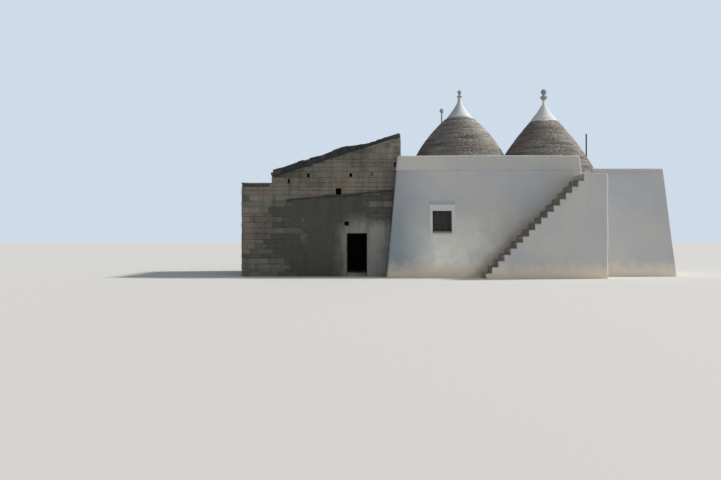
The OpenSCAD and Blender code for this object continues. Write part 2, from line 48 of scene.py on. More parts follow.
print("frame loaded:", len(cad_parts), "nodes")

siteShift = np.array([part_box("front_wall")[0].x,
                      (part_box("front_wall")[0].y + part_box("back_wall")[1].y) / 2, 0])
fullTurn = 2 * math.pi
quarter = np.linspace(0, math.pi / 2, 5)  # turns round an arris
arrisUp, arrisDown = quarter[1:], quarter[:0:-1]


def low(node):
    # a solid's lowest corner, counted as places on the house are
    return np.array(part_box(node)[0]) - siteShift


def high(node):
    # and its highest corner
    return np.array(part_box(node)[1]) - siteShift


house = {
    "right": high("front_wall")[0],  # right end of the main block at the ground
    "wingRight": high("wing_end_wall")[0],
    "front": low("front_wall")[1],
    "wingFront": low("wing_front_wall")[1],
    "back": high("back_wall")[1],
    "terrace": high("roof_terrace")[2],
    "slabUnder": low("roof_terrace")[2],
    "parapetTop": high("front_parapet")[2],
    "roomLeft": low("house_floor")[0],
    "roomRight": high("house_floor")[0],
    "roomHalf": high("house_floor")[1],
    "batter": low("front_parapet")[0] / low("front_parapet")[2],
}


# Shapes

def pattern(points, size, seed):
    # value noise: chance numbers from -1 to 1 on a lattice of that size, eased between corners
    scaled = points / size
    cell = np.floor(scaled).astype(np.int64)
    part = scaled - cell
    part = part * part * (3 - 2 * part)
    total = np.zeros(points.shape[:-1])
    for corner in np.ndindex(2, 2, 2):
        spot = cell + corner
        mixed = spot[..., 0] * 374761393 + spot[..., 1] * 668265263 + spot[..., 2] * 1442695041
        mixed = (mixed + seed * 974634777) & 0x7FFFFFFF
        mixed = ((mixed ^ (mixed >> 13)) * 1274126177) & 0x7FFFFFFF
        value = ((mixed ^ (mixed >> 16)) & 0xFFFF) / 32767.5 - 1
        total += value * np.prod(np.where(corner, part, 1 - part), axis=-1)
    return total


def wander(points, *layers):
    # a surface that only gives way: the sum of amount * (1 + pattern) over the layers
    return sum(amount * (1 + pattern(points, size, seed)) for amount, size, seed in layers)


def edgeGive(away, radius):
    # how far a rounded arris gives way: r - sqrt(r*r - n*n), n being r less the distance away
    near = np.clip(radius - away, 0, radius)
    return radius - np.sqrt(radius ** 2 - near ** 2)


def shaken(corners, reach):
    # every corner moved by chance, up to the reach on each axis
    return corners + chance.uniform(-1, 1, corners.shape) * reach


def spread(start, end, step):
    # even places from start to end, no further apart than step
    return np.linspace(start, end, max(2, int(np.ceil(abs(end - start) / step)) + 1))


def stepped(lengths):
    # from 0 to 1 in steps that share the way as the lengths do
    return np.concatenate([[0], np.cumsum(lengths)]) / lengths.sum()


def between(edges, gap):
    # where the pieces between neighbouring edges start and end, less a gap at either end
    return edges[:-1] + gap, edges[1:] - gap


def around(count):
    # even turns round a circle
    return np.linspace(0, fullTurn, count, endpoint=False)


def asShare(value):
    # held between 0 and 1
    return np.clip(value, 0, 1)


def jointsAlong(start, end, step, loose=0.0):
    # a step apart and the last at the end, with the inner ones moved by chance up to loose
    joints = np.append(np.arange(start, end - 0.3, step), end)
    if loose:
        joints[1:-1] += chance.uniform(-loose, loose, len(joints) - 2)
    return joints


def chanceWidths(start, end, widths, least):
    # pieces of chance widths side by side, the last of them, up to the end, at least so wide
    joints = start + np.concatenate([[0], np.cumsum(chance.uniform(*widths, 30))])
    return np.append(joints[joints < end - least], end)


def grid(*values):
    # numbers and arrays spread over each other, side by side in a new last direction
    return np.stack(np.broadcast_arrays(*values), -1)


def ringAbout(x0, y0, radius, turn, z):
    # radius * cos(turn) and radius * sin(turn) from the upright line through x0, y0
    return grid(x0 + radius * np.cos(turn), y0 + radius * np.sin(turn), z)


def quadsOf(index):
    # the cells of a grid of point numbers
    return np.stack([index[:-1, :-1], index[1:, :-1], index[1:, 1:], index[:-1, 1:]], -1)


def shape(points, quads, tris=None, tone=0.5):
    points = points.reshape(-1, 3)
    return {
        "points": points, "quads": quads.reshape(-1, 4),
        "tris": np.zeros((0, 3), int) if tris is None else tris.reshape(-1, 3),
        "tone": np.broadcast_to(np.asarray(tone, float), (len(points),)),
    }


def gather(shapes):
    # one shape out of many: the points one after another, the faces counted on
    starts = np.cumsum([0] + [len(s["points"]) for s in shapes])
    whole = {key: np.concatenate([s[key] for s in shapes]) for key in ("points", "tone")}
    for key in ("quads", "tris"):
        whole[key] = np.concatenate([s[key] + k for s, k in zip(shapes, starts)])
    return whole


def facedOut(s):
    # the signed volume, summed over a fan of triangles for each face, is positive on a solid
    # whose faces point outwards; where it is negative every face is turned round
    p, q = s["points"], s["quads"]
    fans = np.concatenate([q[:, [0, 1, 2]], q[:, [0, 2, 3]], s["tris"]])
    volume = np.einsum("ij,ij->", p[fans[:, 0]], np.cross(p[fans[:, 1]], p[fans[:, 2]]))
    if volume < 0:
        s["quads"], s["tris"] = q[:, ::-1], s["tris"][:, ::-1]
    return s


def sheetSolid(front, back, keep=None, wrap=False, tone=0.5):
    # two grids of points, a front and a back, joined by a rim round every border of the kept
    # cells; with wrap the first direction runs round and closes on itself
    rows, columns = front.shape[:2]
    count = rows * columns
    index = np.arange(count).reshape(rows, columns)
    if wrap:
        index = np.vstack([index, index[:1]])
    cells = quadsOf(index)
    keep = np.ones(cells.shape[:2], bool) if keep is None else keep
    quads = [cells[keep], cells[keep][:, ::-1] + count]
    held = np.pad(keep, 1).astype(int)
    if wrap:
        held[0], held[-1] = held[-2], held[1]
    across = np.diff(held, axis=0)[:-1 if wrap else None, 1:-1]
    along = np.diff(held, axis=1)[1:-1]
    p, q = index[:len(across), :-1], index[:len(across), 1:]
    r, s = index[:-1], index[1:]
    for edge, start, end in ((across == 1, p, q), (across == -1, q, p),
                             (along == 1, s, r), (along == -1, r, s)):
        quads.append(np.stack([start, end, end + count, start + count], -1)[edge])
    used, quads = np.unique(np.concatenate(quads), return_inverse=True)
    points = np.concatenate([front.reshape(-1, 3), back.reshape(-1, 3)])
    tone = np.tile(np.broadcast_to(tone, (rows, columns)).ravel(), 2)
    return facedOut(shape(points[used], quads, tone=tone[used]))


def loft(rings, closed=False, tone=0.5):
    # loops of points carried along a path: quads between neighbouring loops, and an end cap
    # of quads that pair the points of the loop across; closed joins the last loop to the first
    count, size = rings.shape[:2]
    index = np.arange(count * size).reshape(count, size)
    body = np.vstack([index, index[:1]]) if closed else index
    quads = [quadsOf(np.hstack([body, body[:, :1]])).reshape(-1, 4)]
    if not closed:
        i = np.arange(size // 2 - 1)
        cap = np.stack([i, i + 1, size - 2 - i, size - 1 - i], -1)
        quads += [index[0][cap], index[-1][cap[:, ::-1]]]
    return facedOut(shape(rings, np.concatenate(quads), tone=tone))


def latticeSkin(counts):
    # the quads on the six sides of a lattice of points, all facing outwards
    index = np.arange(np.prod(counts)).reshape(counts)
    quads = []
    for axis in range(3):
        for end in (0, -1):
            side = quadsOf(index.take(end, axis)).reshape(-1, 4)
            quads.append(side[:, ::-1] if (axis == 1) == (end == -1) else side)
    return np.concatenate(quads)


def blockTemplate(fine):
    # surface points of a cube with four ticks an axis; fine keeps a point in the middle of
    # each rounded edge. Without it the edges are plain chamfers: a face for each of the 26
    # directions, made of the points that reach furthest that way, in order round it
    ticks = np.array(list(np.ndindex(4, 4, 4)))
    atEnd = (ticks == 0) | (ticks == 3)
    ends = atEnd.sum(1)
    side = np.where(ticks < 2, -1.0, 1.0)
    pull = np.where(atEnd, np.choose(ends, [0, 0, 0.29, 0.42])[:, None], 1.0)
    if fine:
        used, quads = np.unique(latticeSkin((4, 4, 4)), return_inverse=True)
        return {"side": side[used], "pull": pull[used], "quads": quads.reshape(-1, 4),
                "tris": np.zeros((0, 3), int)}
    side, pull = side[ends == 1], pull[ends == 1]
    points = side * (1 - 0.2 * pull)
    faces = {3: [], 4: []}
    for way in np.array(list(np.ndindex(3, 3, 3))) - 1:
        if way.any():
            reach = points @ way
            found = np.flatnonzero(reach > reach.max() - 1e-6)
            u = np.cross(way, [0.3, 0.5, 0.8])
            turn = np.arctan2(points[found] @ np.cross(way, u), points[found] @ u)
            faces[len(found)].append(found[np.argsort(turn)])
    return {"side": side, "pull": pull, "quads": np.array(faces[4]), "tris": np.array(faces[3])}


def cutAlong(template, parts):
    # the same block with its length cut into equal parts, so that a bend can curve it: each
    # line that runs along gets new points at side = 2 k / parts - 1
    side, pull, quads = template["side"], template["pull"], template["quads"]
    left = np.flatnonzero((side[:, 0] < 0) & (pull[:, 0] == 1))
    right = np.flatnonzero((side[:, 0] > 0) & (pull[:, 0] == 1))
    added = np.repeat(side[left], parts - 1, 0)
    added[:, 0] = np.tile(np.arange(1, parts) * 2 / parts - 1, len(left))
    line = np.zeros((len(side), parts + 1), int)
    line[left] = np.column_stack([
        left, len(side) + np.arange(len(added)).reshape(len(left), -1), right])
    long = np.ptp(side[quads, 0], axis=1) > 0
    cut = [quads[~long]]
    for quad in quads[long]:
        while side[quad[0], 0] > 0 or side[quad[3], 0] > 0:
            quad = np.roll(quad, 1)
        a, d = line[quad[0]], line[quad[3]]
        cut.append(np.column_stack([a[:-1], a[1:], d[1:], d[:-1]]))
    return {"side": np.vstack([side, added]), "tris": template["tris"],
            "pull": np.vstack([pull, np.repeat(pull[left], parts - 1, 0)]),
            "quads": np.vstack(cut)}


plainBlock = blockTemplate(False)
fineBlock = blockTemplate(True)
slabBlock = cutAlong(plainBlock, 3)


def blocks(corners, edge, tone=0.5, template=plainBlock, bend=None):
    # a rounded block in each set of 8 corners: a point of the template at side * (1 - pull *
    # edge / half size) on each axis is blended out of the corners by its three shares
    count, per = len(corners), len(template["side"])
    c = corners.reshape(count, 2, 2, 2, 3)
    size = np.concatenate([np.linalg.norm(np.diff(c.mean(others), axis=1), axis=-1)
                           for others in ((2, 3), (1, 3), (1, 2))], -1)
    inset = np.minimum(edge / np.maximum(size / 2, 1e-6), 0.6)
    place = template["side"] * (1 - template["pull"] * inset[:, None, :])
    x, y, z = np.moveaxis(np.stack([1 - place, 1 + place], -1) / 2, 2, 0)
    points = np.einsum("nvi,nvj,nvk,nijkd->nvd", x, y, z, c)
    points = points if bend is None else bend(points)
    starts = (np.arange(count) * per)[:, None, None]
    return facedOut(shape(points, template["quads"] + starts, template["tris"] + starts,
                          np.repeat(np.broadcast_to(tone, count), per)))


def roughStone(lowest, highest, step, edge, wear, seed, tone=0.5, bend=None):
    # the six faces of a box as one lattice: a point within the edge distance of a side moves
    # onto a ball of that radius round the nearest point of the smaller box inside, and chance
    # numbers then wear the faces inwards
    lowest, highest = np.array(lowest, float), np.array(highest, float)
    edge = min(edge, 0.45 * (highest - lowest).min())
    ticks = [np.unique(np.concatenate([[a, a + 0.4 * edge], spread(a + edge, b - edge, step),
                                       [b - 0.4 * edge, b]])) for a, b in zip(lowest, highest)]
    used, quads = np.unique(latticeSkin([len(t) for t in ticks]), return_inverse=True)
    points = np.stack(np.meshgrid(*ticks, indexing="ij"), -1).reshape(-1, 3)[used]
    core = np.clip(points, lowest + edge, highest - edge)
    out = (points - core) / np.linalg.norm(points - core, axis=1)[:, None]
    worn = wander(points, (0.5 * wear, 0.22, seed), (0.25 * wear, 0.07, seed))
    points = core + out * (edge - worn[:, None])
    return facedOut(shape(points if bend is None else bend(points), quads, tone=tone))


def turned(profile, x0, y0, segments=40):
    # a profile of (radius, height) turned about the upright line through x0, y0
    radius, z = np.array(profile).T[:, :, None]
    turn = around(segments)
    return loft(ringAbout(x0, y0, radius, turn, z))


def roundBar(start, end, radius, sides=8):
    # a circle of points carried from one end to the other
    start, end = np.array(start, float), np.array(end, float)
    way = (end - start) / np.linalg.norm(end - start)
    side = np.cross(way, [0, 1, 0] if abs(way[1]) < 0.9 else [1, 0, 0])
    side /= np.linalg.norm(side)
    turn = around(sides)[:, None]
    circle = radius * (np.cos(turn) * side + np.sin(turn) * np.cross(way, side))
    return loft(np.stack([start + circle, end + circle]))


def setBack(nodeName, moves):
    # the solid's own triangles, with the points of the named planes moved along their axis
    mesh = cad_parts[nodeName].data
    points, corners = np.zeros(len(mesh.vertices) * 3), np.zeros(len(mesh.loops), int)
    mesh.vertices.foreach_get("co", points)
    mesh.loops.foreach_get("vertex_index", corners)
    points = points.reshape(-1, 3) - siteShift
    for axis, at, step in moves:
        points[np.abs(points[:, axis] - at) < 1e-4, axis] += step
    return shape(points, np.zeros((0, 4), int), corners)


def cornersOf(x0, x1, y0, y1, z0, z1):
    # the 8 corners of boxes given by arrays of their limits, x slowest and z fastest
    limits = np.stack(np.broadcast_arrays(*np.atleast_1d(x0, x1, y0, y1, z0, z1))).astype(float)
    corners = [limits[[i, 2 + j, 4 + k]] for i, j, k in np.ndindex(2, 2, 2)]
    return np.stack(corners).transpose(2, 0, 1).copy()


def cutHole(span, hole):
    # what is left of a stretch of a course beside, under and over a hole
    (a, b, c, d), (x0, x1, h0, h1) = span, hole
    if a >= x1 or b <= x0 or c >= h1 or d <= h0:
        return [span]
    u, v = max(a, x0), min(b, x1)
    return [q for q in ((a, x0, c, d), (x1, b, c, d), (u, v, c, h0), (u, v, h1, d))
            if q[1] - q[0] > 0.05 and q[3] - q[2] > 0.03]


def courseRows(levels, look, limits, holes, corners, parity):
    # stones side by side in level courses between the left and right limits at that height,
    # with the holes left clear; at a corner every second course runs through with a long
    # stone, and the others start that stone's length further in
    rows = []
    for k, (z0, z1) in enumerate(zip(levels[:-1], levels[1:])):
        through = (k + parity) % 2 == 0
        start, end = (float(limit(z0)) for limit in limits)
        turns = [c[0] <= z0 < c[1] for c in corners]
        start += look["quoin"] if turns[0] and not through else 0
        end -= look["quoin"] if turns[1] and not through else 0
        spans = [(start, end, z0, z1)]
        for hole in holes:
            spans = [part for span in spans for part in cutHole(span, hole)]
        for a, b, c, d in spans:
            count = max(1, int(round((b - a) / np.mean(look["length"]))))
            edges = a + (b - a) * stepped(chance.uniform(*look["length"], count))
            deep = np.full(count, look["depth"])
            deep[0] = look["quoin"] if turns[0] and through and a == start else deep[0]
            deep[-1] = look["quoin"] if turns[1] and through and b == end else deep[-1]
            rows.append(grid(edges[:-1], edges[1:], c, d, deep))
    return np.concatenate(rows).T


def courseStones(levels, look, limits, topOf, holes, corners, parity=0):
    # the corners and tones of the stones in the courses, each a little proud and shaken; the
    # limits and the top cut them, and what is then a sliver is left out
    u0, u1, z0, z1, deep = courseRows(levels, look, limits, holes, corners, parity)
    gap, overlap = look["gap"] / 2, 0.008
    proud = chance.uniform(0, look["uneven"], len(u0))
    box = cornersOf(u0 - overlap, u1 + overlap, proud, deep, z0 + gap, z1 - gap)
    shake = chance.uniform(-1, 1, box.shape) * [0.002, 0.004, look["shake"]]
    shake[..., 1] = np.abs(shake[..., 1])
    box += shake
    box[..., 0] = np.clip(box[..., 0], limits[0](box[..., 2]), limits[1](box[..., 2]))
    box[..., 2] = np.minimum(box[..., 2], topOf(box[..., 0]))
    box[..., 2] = np.clip(box[..., 2], levels[0], levels[-1])
    tall = (box[:, 1::2, 2] - box[:, 0::2, 2]).min(1)
    wide = (box[:, 4:, 0] - box[:, :4, 0]).min(1)
    box = box[(tall > 0.03) & (wide > 0.04)]
    middle = box.mean(1)
    tone = 0.5 + 0.11 * chance.uniform(-1, 1, len(box)) + 0.25 * pattern(middle, 1.1, 41)
    tone += 0.3 * pattern(middle * [0.6, 0.6, 3.2], 0.9, 42)
    return box, asShare(tone)


def nodeOf(name):
    # the CAD node of that name, which is written with underscores
    return "".join("_" + letter.lower() if letter.isupper() else letter for letter in name)


def meshOf(name, s, weld):
    # puts the arrays into a mesh; weld joins points that lie on each other
    mesh = bpy.data.meshes.new(name)
    mesh.vertices.add(len(s["points"]))
    mesh.vertices.foreach_set("co", (s["points"] + siteShift).ravel())
    corners = np.concatenate([s["quads"].ravel(), s["tris"].ravel()])
    mesh.loops.add(len(corners))
    mesh.loops.foreach_set("vertex_index", corners)
    starts = np.cumsum([0] + [4] * len(s["quads"]) + [3] * len(s["tris"]))[:-1]
    mesh.polygons.add(len(starts))
    mesh.polygons.foreach_set("loop_start", starts)
    tone = mesh.attributes.new("stoneTone", "FLOAT", "POINT")
    tone.data.foreach_set("value", s["tone"].astype(np.float32))
    mesh.update(calc_edges=True)
    if weld:
        soft = bmesh.new()
        soft.from_mesh(mesh)
        bmesh.ops.remove_doubles(soft, verts=soft.verts, dist=1e-5)
        soft.to_mesh(mesh)
        soft.free()
    return mesh


def makePiece(name, shapes, finish, stands=(), smoothAngle=None, weld=False, second=None):
    # makes the shapes one piece, rides it on the root and hides the solids it stands for;
    # second is (a finish, a rule that picks its faces from their outward directions)
    mesh = meshOf(name, gather(shapes if isinstance(shapes, list) else [shapes]), weld)
    mesh.materials.append(finish)
    if second is not None:
        mesh.materials.append(second[0])
        normals = np.zeros(len(mesh.polygons) * 3)
        mesh.polygons.foreach_get("normal", normals)
        mesh.polygons.foreach_set("material_index", second[1](normals.reshape(-1, 3)).astype(int))
    if smoothAngle is not None:
        mesh.polygons.foreach_set("use_smooth", np.ones(len(mesh.polygons), bool))
        mesh.set_sharp_from_angle(angle=math.radians(smoothAngle))
    piece = bpy.data.objects.new(name, mesh)
    bpy.context.scene.collection.objects.link(piece)
    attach(piece, "root")
    if stands:
        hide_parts(*stands)


# Finishes

now = {}  # the finish being made: its node tree, shader, place and colour so far


def addNode(kind, values=None, **settings):
    # a node of the finish being made: a socket is given a value or linked to another socket
    made = now["tree"].nodes.new("ShaderNode" + kind)
    for key, value in settings.items():
        setattr(made, key, value)
    for key, value in (values or {}).items():
        socket = made.inputs[key]
        if isinstance(value, bpy.types.NodeSocket):
            now["tree"].links.new(value, socket)
        else:
            socket.default_value = (*value, 1) if socket.type == "RGBA" else value
    return made


def noiseOf(size, detail, rough, place=None):
    # cloudy noise whose clouds are about that size
    return addNode("TexNoise", {
        "Vector": now["place"] if place is None else place, "Scale": 1 / size, "Detail": detail,
        "Roughness": rough}).outputs["Fac"]


def levelOf(value, start, end):
    # a share that runs from 0 to 1 while the value runs from start to end
    return addNode("MapRange", {"Value": value, "From Min": start, "From Max": end},
                   clamp=True).outputs["Result"]


def patchOf(size, detail, rough, start, end, place=None):
    # soft patches: the level of the noise between start and end
    return levelOf(noiseOf(size, detail, rough, place), start, end)


def rampOf(value, stops):
    # a colour that runs through the stops, each a place from 0 to 1 and its colour
    ramp = addNode("ValToRGB", {"Fac": value})
    while len(ramp.color_ramp.elements) < len(stops):
        ramp.color_ramp.elements.new(0.5)
    for element, (spot, colour) in zip(ramp.color_ramp.elements, stops):
        element.position = spot
        element.color = (*colour, 1)
    return ramp.outputs["Color"]


def mathOf(kind, a, b=0.0):
    return addNode("Math", {0: a, 1: b}, operation=kind).outputs[0]


def sumOf(a, b):
    return mathOf("ADD", a, b)


def distanceOf(a, b):
    # |a - b|
    return mathOf("ABSOLUTE", mathOf("SUBTRACT", a, b))


def productOf(first, *others):
    for other in others:
        first = mathOf("MULTIPLY", first, other)
    return first


def blendOf(share, under, over):
    # under * (1 - share) + over * share
    return addNode("Mix", {0: share, 6: under, 7: over}, data_type="RGBA").outputs[2]


def cover(colour, *shares):
    # lays a colour over the finish by the product of the shares
    now["colour"] = blendOf(productOf(*shares), now["colour"], colour)


def stretched(*scale):
    # the place times the scale: a scale below 1 draws a pattern out along that axis
    return addNode("Mapping", {"Vector": now["place"], "Scale": scale}).outputs[0]


def splitOf(place):
    return addNode("SeparateXYZ", {"Vector": place}).outputs


def outwards():
    # the shares of the face's direction on the three axes
    return splitOf(addNode("NewGeometry").outputs["Normal"])


def ownTone():
    # the tone from 0 to 1 that the mesh holds for each stone
    return addNode("Attribute", attribute_name="stoneTone").outputs["Fac"]


def newFinish(name, recordSlot, rough, metal=0.0):
    # starts a material with its shader and its place on the house, and makes it the current one
    finish = bpy.data.materials.new(name)
    finish.use_nodes = True
    finish["recordSlot"] = recordSlot
    now.update(finish=finish, tree=finish.node_tree,
               shader=finish.node_tree.nodes["Principled BSDF"])
    now["shader"].inputs["Roughness"].default_value = rough
    now["shader"].inputs["Metallic"].default_value = metal
    now["place"] = addNode("TexCoord").outputs["Object"]


def finished(height, strength, depth):
    # the colour so far and the relief of that height go into the shader
    bump = addNode("Bump", {"Height": height, "Strength": strength, "Distance": depth})
    now["tree"].links.new(now["colour"], now["shader"].inputs["Base Color"])
    now["tree"].links.new(bump.outputs["Normal"], now["shader"].inputs["Normal"])
    return now["finish"]


def freshCoat(look, x, z, inFront):
    # a newer coat, brightest on a level line and fading upwards and to both sides
    torn = productOf(noiseOf(1.1, 3, 0.5), 1.2)
    near = levelOf(sumOf(distanceOf(x, look["x"]), torn), look["half"] + 1.4, look["half"] + 0.2)
    under = levelOf(sumOf(z, torn), look["top"] + 1.5, look["top"] - 0.5)
    cover(look["colour"], near, under, inFront)


def paintedBlueShade(look, x, z, inFront):
    # painted shade: bluer and darker beside the front wall's left edge, darkest and bluest low down
    torn = productOf(noiseOf(0.9, 4, 0.6), 0.8)
    near = levelOf(sumOf(distanceOf(x, look["x"]), torn), look["half"] + 0.7, 0.7)
    shadeColour = blendOf(levelOf(z, 4.0, 2.0), look["colour"], look["lower"])
    cover(shadeColour, near, inFront, 0.9)


def stepStain(look, x, y, z, inFront):
    # soil rubbed on the wall above the steps: strongest on a line that rises with them
    along = mathOf("SUBTRACT", x, look["x"])
    over = mathOf("SUBTRACT", z, productOf(along, look["slope"]))
    band = levelOf(sumOf(distanceOf(over, look["over"]), noiseOf(0.45, 6, 0.75)),
                   look["reach"] + 0.5, 0.4)
    lower = levelOf(along, look["long"], look["long"] * 0.5)
    onWall = levelOf(y, look["y"] - 0.02, look["y"] + 0.02)
    blotch = sumOf(productOf(patchOf(0.22, 6, 0.75, 0.36, 0.62), 0.4), 0.32)
    cover((0.27, 0.225, 0.18), band, lower, onWall, inFront, blotch)


def plasterFinish(name, cool, warm, dirt=0.0, stain=None, fresh=None, shade=None, worn=None):
    # limewash over rough render: broad cool and warm patches, faint brushed streaks, and
    # earth splashed up from the ground, with painted light in the earth's colour by facing
    newFinish(name, "limewash", 0.92)
    x, y, z = splitOf(now["place"])
    inFront = levelOf(y, 0.0, -1.0)
    now["colour"] = rampOf(noiseOf(2.6, 3, 0.55), [(0.36, cool), (0.64, warm)])
    # painted shade: a bluish, darker colour laid where the mesh's tone is low
    if worn:
        cover(worn, levelOf(ownTone(), 0.8, 0.1))
    if fresh:
        freshCoat(fresh, x, z, inFront)
    # painted bluish shade by the front wall's left edge
    if shade:
        paintedBlueShade(shade, x, z, inFront)
    cover((0.5, 0.49, 0.46), patchOf(0.9, 5, 0.65, 0.56, 0.8, stretched(2.2, 2.2, 0.28)), 0.3)
    cover((0.47, 0.455, 0.47), patchOf(0.42, 5, 0.7, 0.48, 0.66), 0.22)
    cover((0.42, 0.4, 0.36), patchOf(0.11, 4, 0.7, 0.58, 0.78), 0.16)
    height = mathOf("SUBTRACT", z, productOf(noiseOf(0.5, 5, 0.7), 0.9))
    # earth splashed at the foot; its colour by facing is painted light: darker on faces turned to the
    # right, towards the sun, paler on the others
    earthWithPaintedLight = blendOf(levelOf(outwards()[0], 0.3, 0.7), (0.88, 0.76, 0.60), (0.60, 0.54, 0.46))
    cover(earthWithPaintedLight, levelOf(height, 0.26, -0.32), 0.85 * dirt)
    cover((0.45, 0.36, 0.28), levelOf(height, -0.2, -0.55), 0.22 * dirt)
    if stain:
        stepStain(stain, x, y, z, inFront)
    trowel = noiseOf(0.22, 3, 0.5)
    return finished(sumOf(productOf(noiseOf(0.035, 6, 0.7), 0.35), trowel), 0.55, 0.02)


def stoneFinish(name, recordSlot, tones, lichen, lichenShare, grain=0.05, moss=0.0, streaks=0.0,
                tint=None, tintShare=0.0, paleShare=0.3, relief=0.7, flat=1.0):
    # each laid stone has its own place on the tone ramp, then patches of lichen, broad
    # patches of another hue, streaks that rain leaves, pale weathered spots and fine pitting;
    # flat above 1 presses the weathering into bands that lie along level courses
    newFinish(name, recordSlot, 0.95)
    own = ownTone()
    if flat > 1:
        now["place"] = stretched(0.6, 0.6, 0.6 * flat)
    mottle = noiseOf(0.16, 5, 0.7)
    spot = sumOf(own, productOf(mathOf("SUBTRACT", mottle, 0.5), 0.5))
    now["colour"] = rampOf(spot, [(k / (len(tones) - 1), tone) for k, tone in enumerate(tones)])
    cover(lichen, patchOf(0.7, 6, 0.72, 0.5, 0.68), lichenShare)
    if tint:
        cover(tint, patchOf(1.4, 4, 0.6, 0.52, 0.66), tintShare)
    if streaks:
        cover((0.035, 0.034, 0.03), patchOf(0.9, 6, 0.7, 0.46, 0.68, stretched(3.4, 3.4, 0.5)),
              streaks)
    cover((0.62, 0.59, 0.52), patchOf(0.07, 5, 0.75, 0.6, 0.72), paleShare)
    if moss:
        lying = levelOf(outwards()[2], 0.3, 0.9)
        cover((0.06, 0.065, 0.04), lying, patchOf(0.35, 6, 0.75, 0.42, 0.6), moss)
    return finished(sumOf(noiseOf(grain, 7, 0.75), productOf(mottle, 0.8)), relief, 0.02)


def timberFinish(name, recordSlot, dark, pale, rough):
    # grain stretched along the upright, with checks where it is darkest
    newFinish(name, recordSlot, rough)
    grain = noiseOf(1.0, 6, 0.65, stretched(22, 22, 1.6))
    now["colour"] = rampOf(grain, [(0.3, dark), (0.7, pale)])
    cover(dark, noiseOf(0.4, 3, 0.5), 0.4)
    return finished(grain, 0.5, 0.004)


def ironFinish(name, clean, rusty, rough, metal):
    # metal with rusty or dull patches and a fine hammered relief
    newFinish(name, "dull_iron", rough, metal)
    now["colour"] = blendOf(patchOf(0.12, 6, 0.7, 0.5, 0.66), clean, rusty)
    return finished(noiseOf(0.01, 4, 0.6), 0.3, 0.002)


def paneFinish():
    # painted shade: the glass is an opaque dark sheet that stands for the dark room behind it, a little
    # duller where the dust lies
    newFinish("dustAndShadePane", "window_pane", 0.35)
    now["shader"].inputs["Specular IOR Level"].default_value = 0.25
    dust = patchOf(0.25, 5, 0.7, 0.35, 0.75)
    now["colour"] = blendOf(dust, (0.045, 0.047, 0.044), (0.085, 0.087, 0.081))
    return finished(noiseOf(0.3, 2, 0.5), 0.05, 0.002)


stairPlace = {
    "x": low("stair_steps")[0], "front": low("stair_steps")[1], "end": low("stair_landing")[0],
    "top": high("stair_steps")[2], "count": 16, "seat": 0.09, "tread": 0.05,
}
stairPlace["going"] = (stairPlace["end"] - stairPlace["x"]) / stairPlace["count"]
stairPlace["riser"] = stairPlace["top"] / stairPlace["count"]
stairPlace["slope"] = stairPlace["riser"] / stairPlace["going"]

facadePlaster = plasterFinish(
    "facadePlaster", (0.50, 0.52, 0.56), (0.58, 0.575, 0.55), 1.0,
    stain={"x": stairPlace["x"] + siteShift[0], "slope": stairPlace["slope"], "over": 0.3,
           "reach": 0.45, "long": 3.0, "y": house["front"] - 0.2 + siteShift[1]},
    fresh={"x": 2.9 + siteShift[0], "half": 1.3, "top": 1.8, "colour": (0.96, 0.945, 0.865)},
    # the shade entry is painted shade: a bluish, darker colour by the front wall's left edge
    shade={"x": 0.2 + siteShift[0], "half": 1.5, "colour": (0.36, 0.375, 0.43),
           "lower": (0.25, 0.315, 0.37)})
parapetPlaster = plasterFinish("parapetPlaster", (0.515, 0.53, 0.53), (0.59, 0.58, 0.55))
# the cap's bluish colour is painted shade, laid on the side turned from the sun
capPlaster = plasterFinish("capPlaster", (0.685, 0.705, 0.715), (0.72, 0.72, 0.71),
                           worn=(0.48, 0.535, 0.585))
finialStone = plasterFinish("finialStone", (0.31, 0.30, 0.305), (0.41, 0.40, 0.385))
bandPlaster = plasterFinish("bandPlaster", (0.66, 0.67, 0.68), (0.72, 0.71, 0.69))
roomPlaster = plasterFinish("roomPlaster", (0.66, 0.66, 0.66), (0.74, 0.72, 0.68), 0.5)
coneStone = stoneFinish(
    "coneStone", "cone_stone",
    [(0.12, 0.118, 0.115), (0.205, 0.183, 0.172), (0.285, 0.272, 0.243), (0.345, 0.325, 0.275),
     (0.56, 0.54, 0.46)], (0.13, 0.135, 0.12), 0.4, tint=(0.25, 0.175, 0.15), tintShare=0.5,
    paleShare=0.25, relief=0.22, flat=5.0)
barnStone = stoneFinish(
    "barnStone", "barn_stone",
    [(0.075, 0.074, 0.066), (0.15, 0.144, 0.123), (0.20, 0.195, 0.165), (0.235, 0.198, 0.156),
     (0.30, 0.288, 0.25)], (0.085, 0.09, 0.077), 0.42, moss=0.8, streaks=0.42,
    tint=(0.19, 0.13, 0.10), tintShare=0.4, paleShare=0.2)
roofStone = stoneFinish(
    "roofStone", "cone_stone",
    [(0.035, 0.04, 0.035), (0.11, 0.11, 0.09), (0.22, 0.21, 0.18), (0.36, 0.34, 0.30)],
    (0.045, 0.05, 0.035), 0.8, moss=0.7, paleShare=0.15)
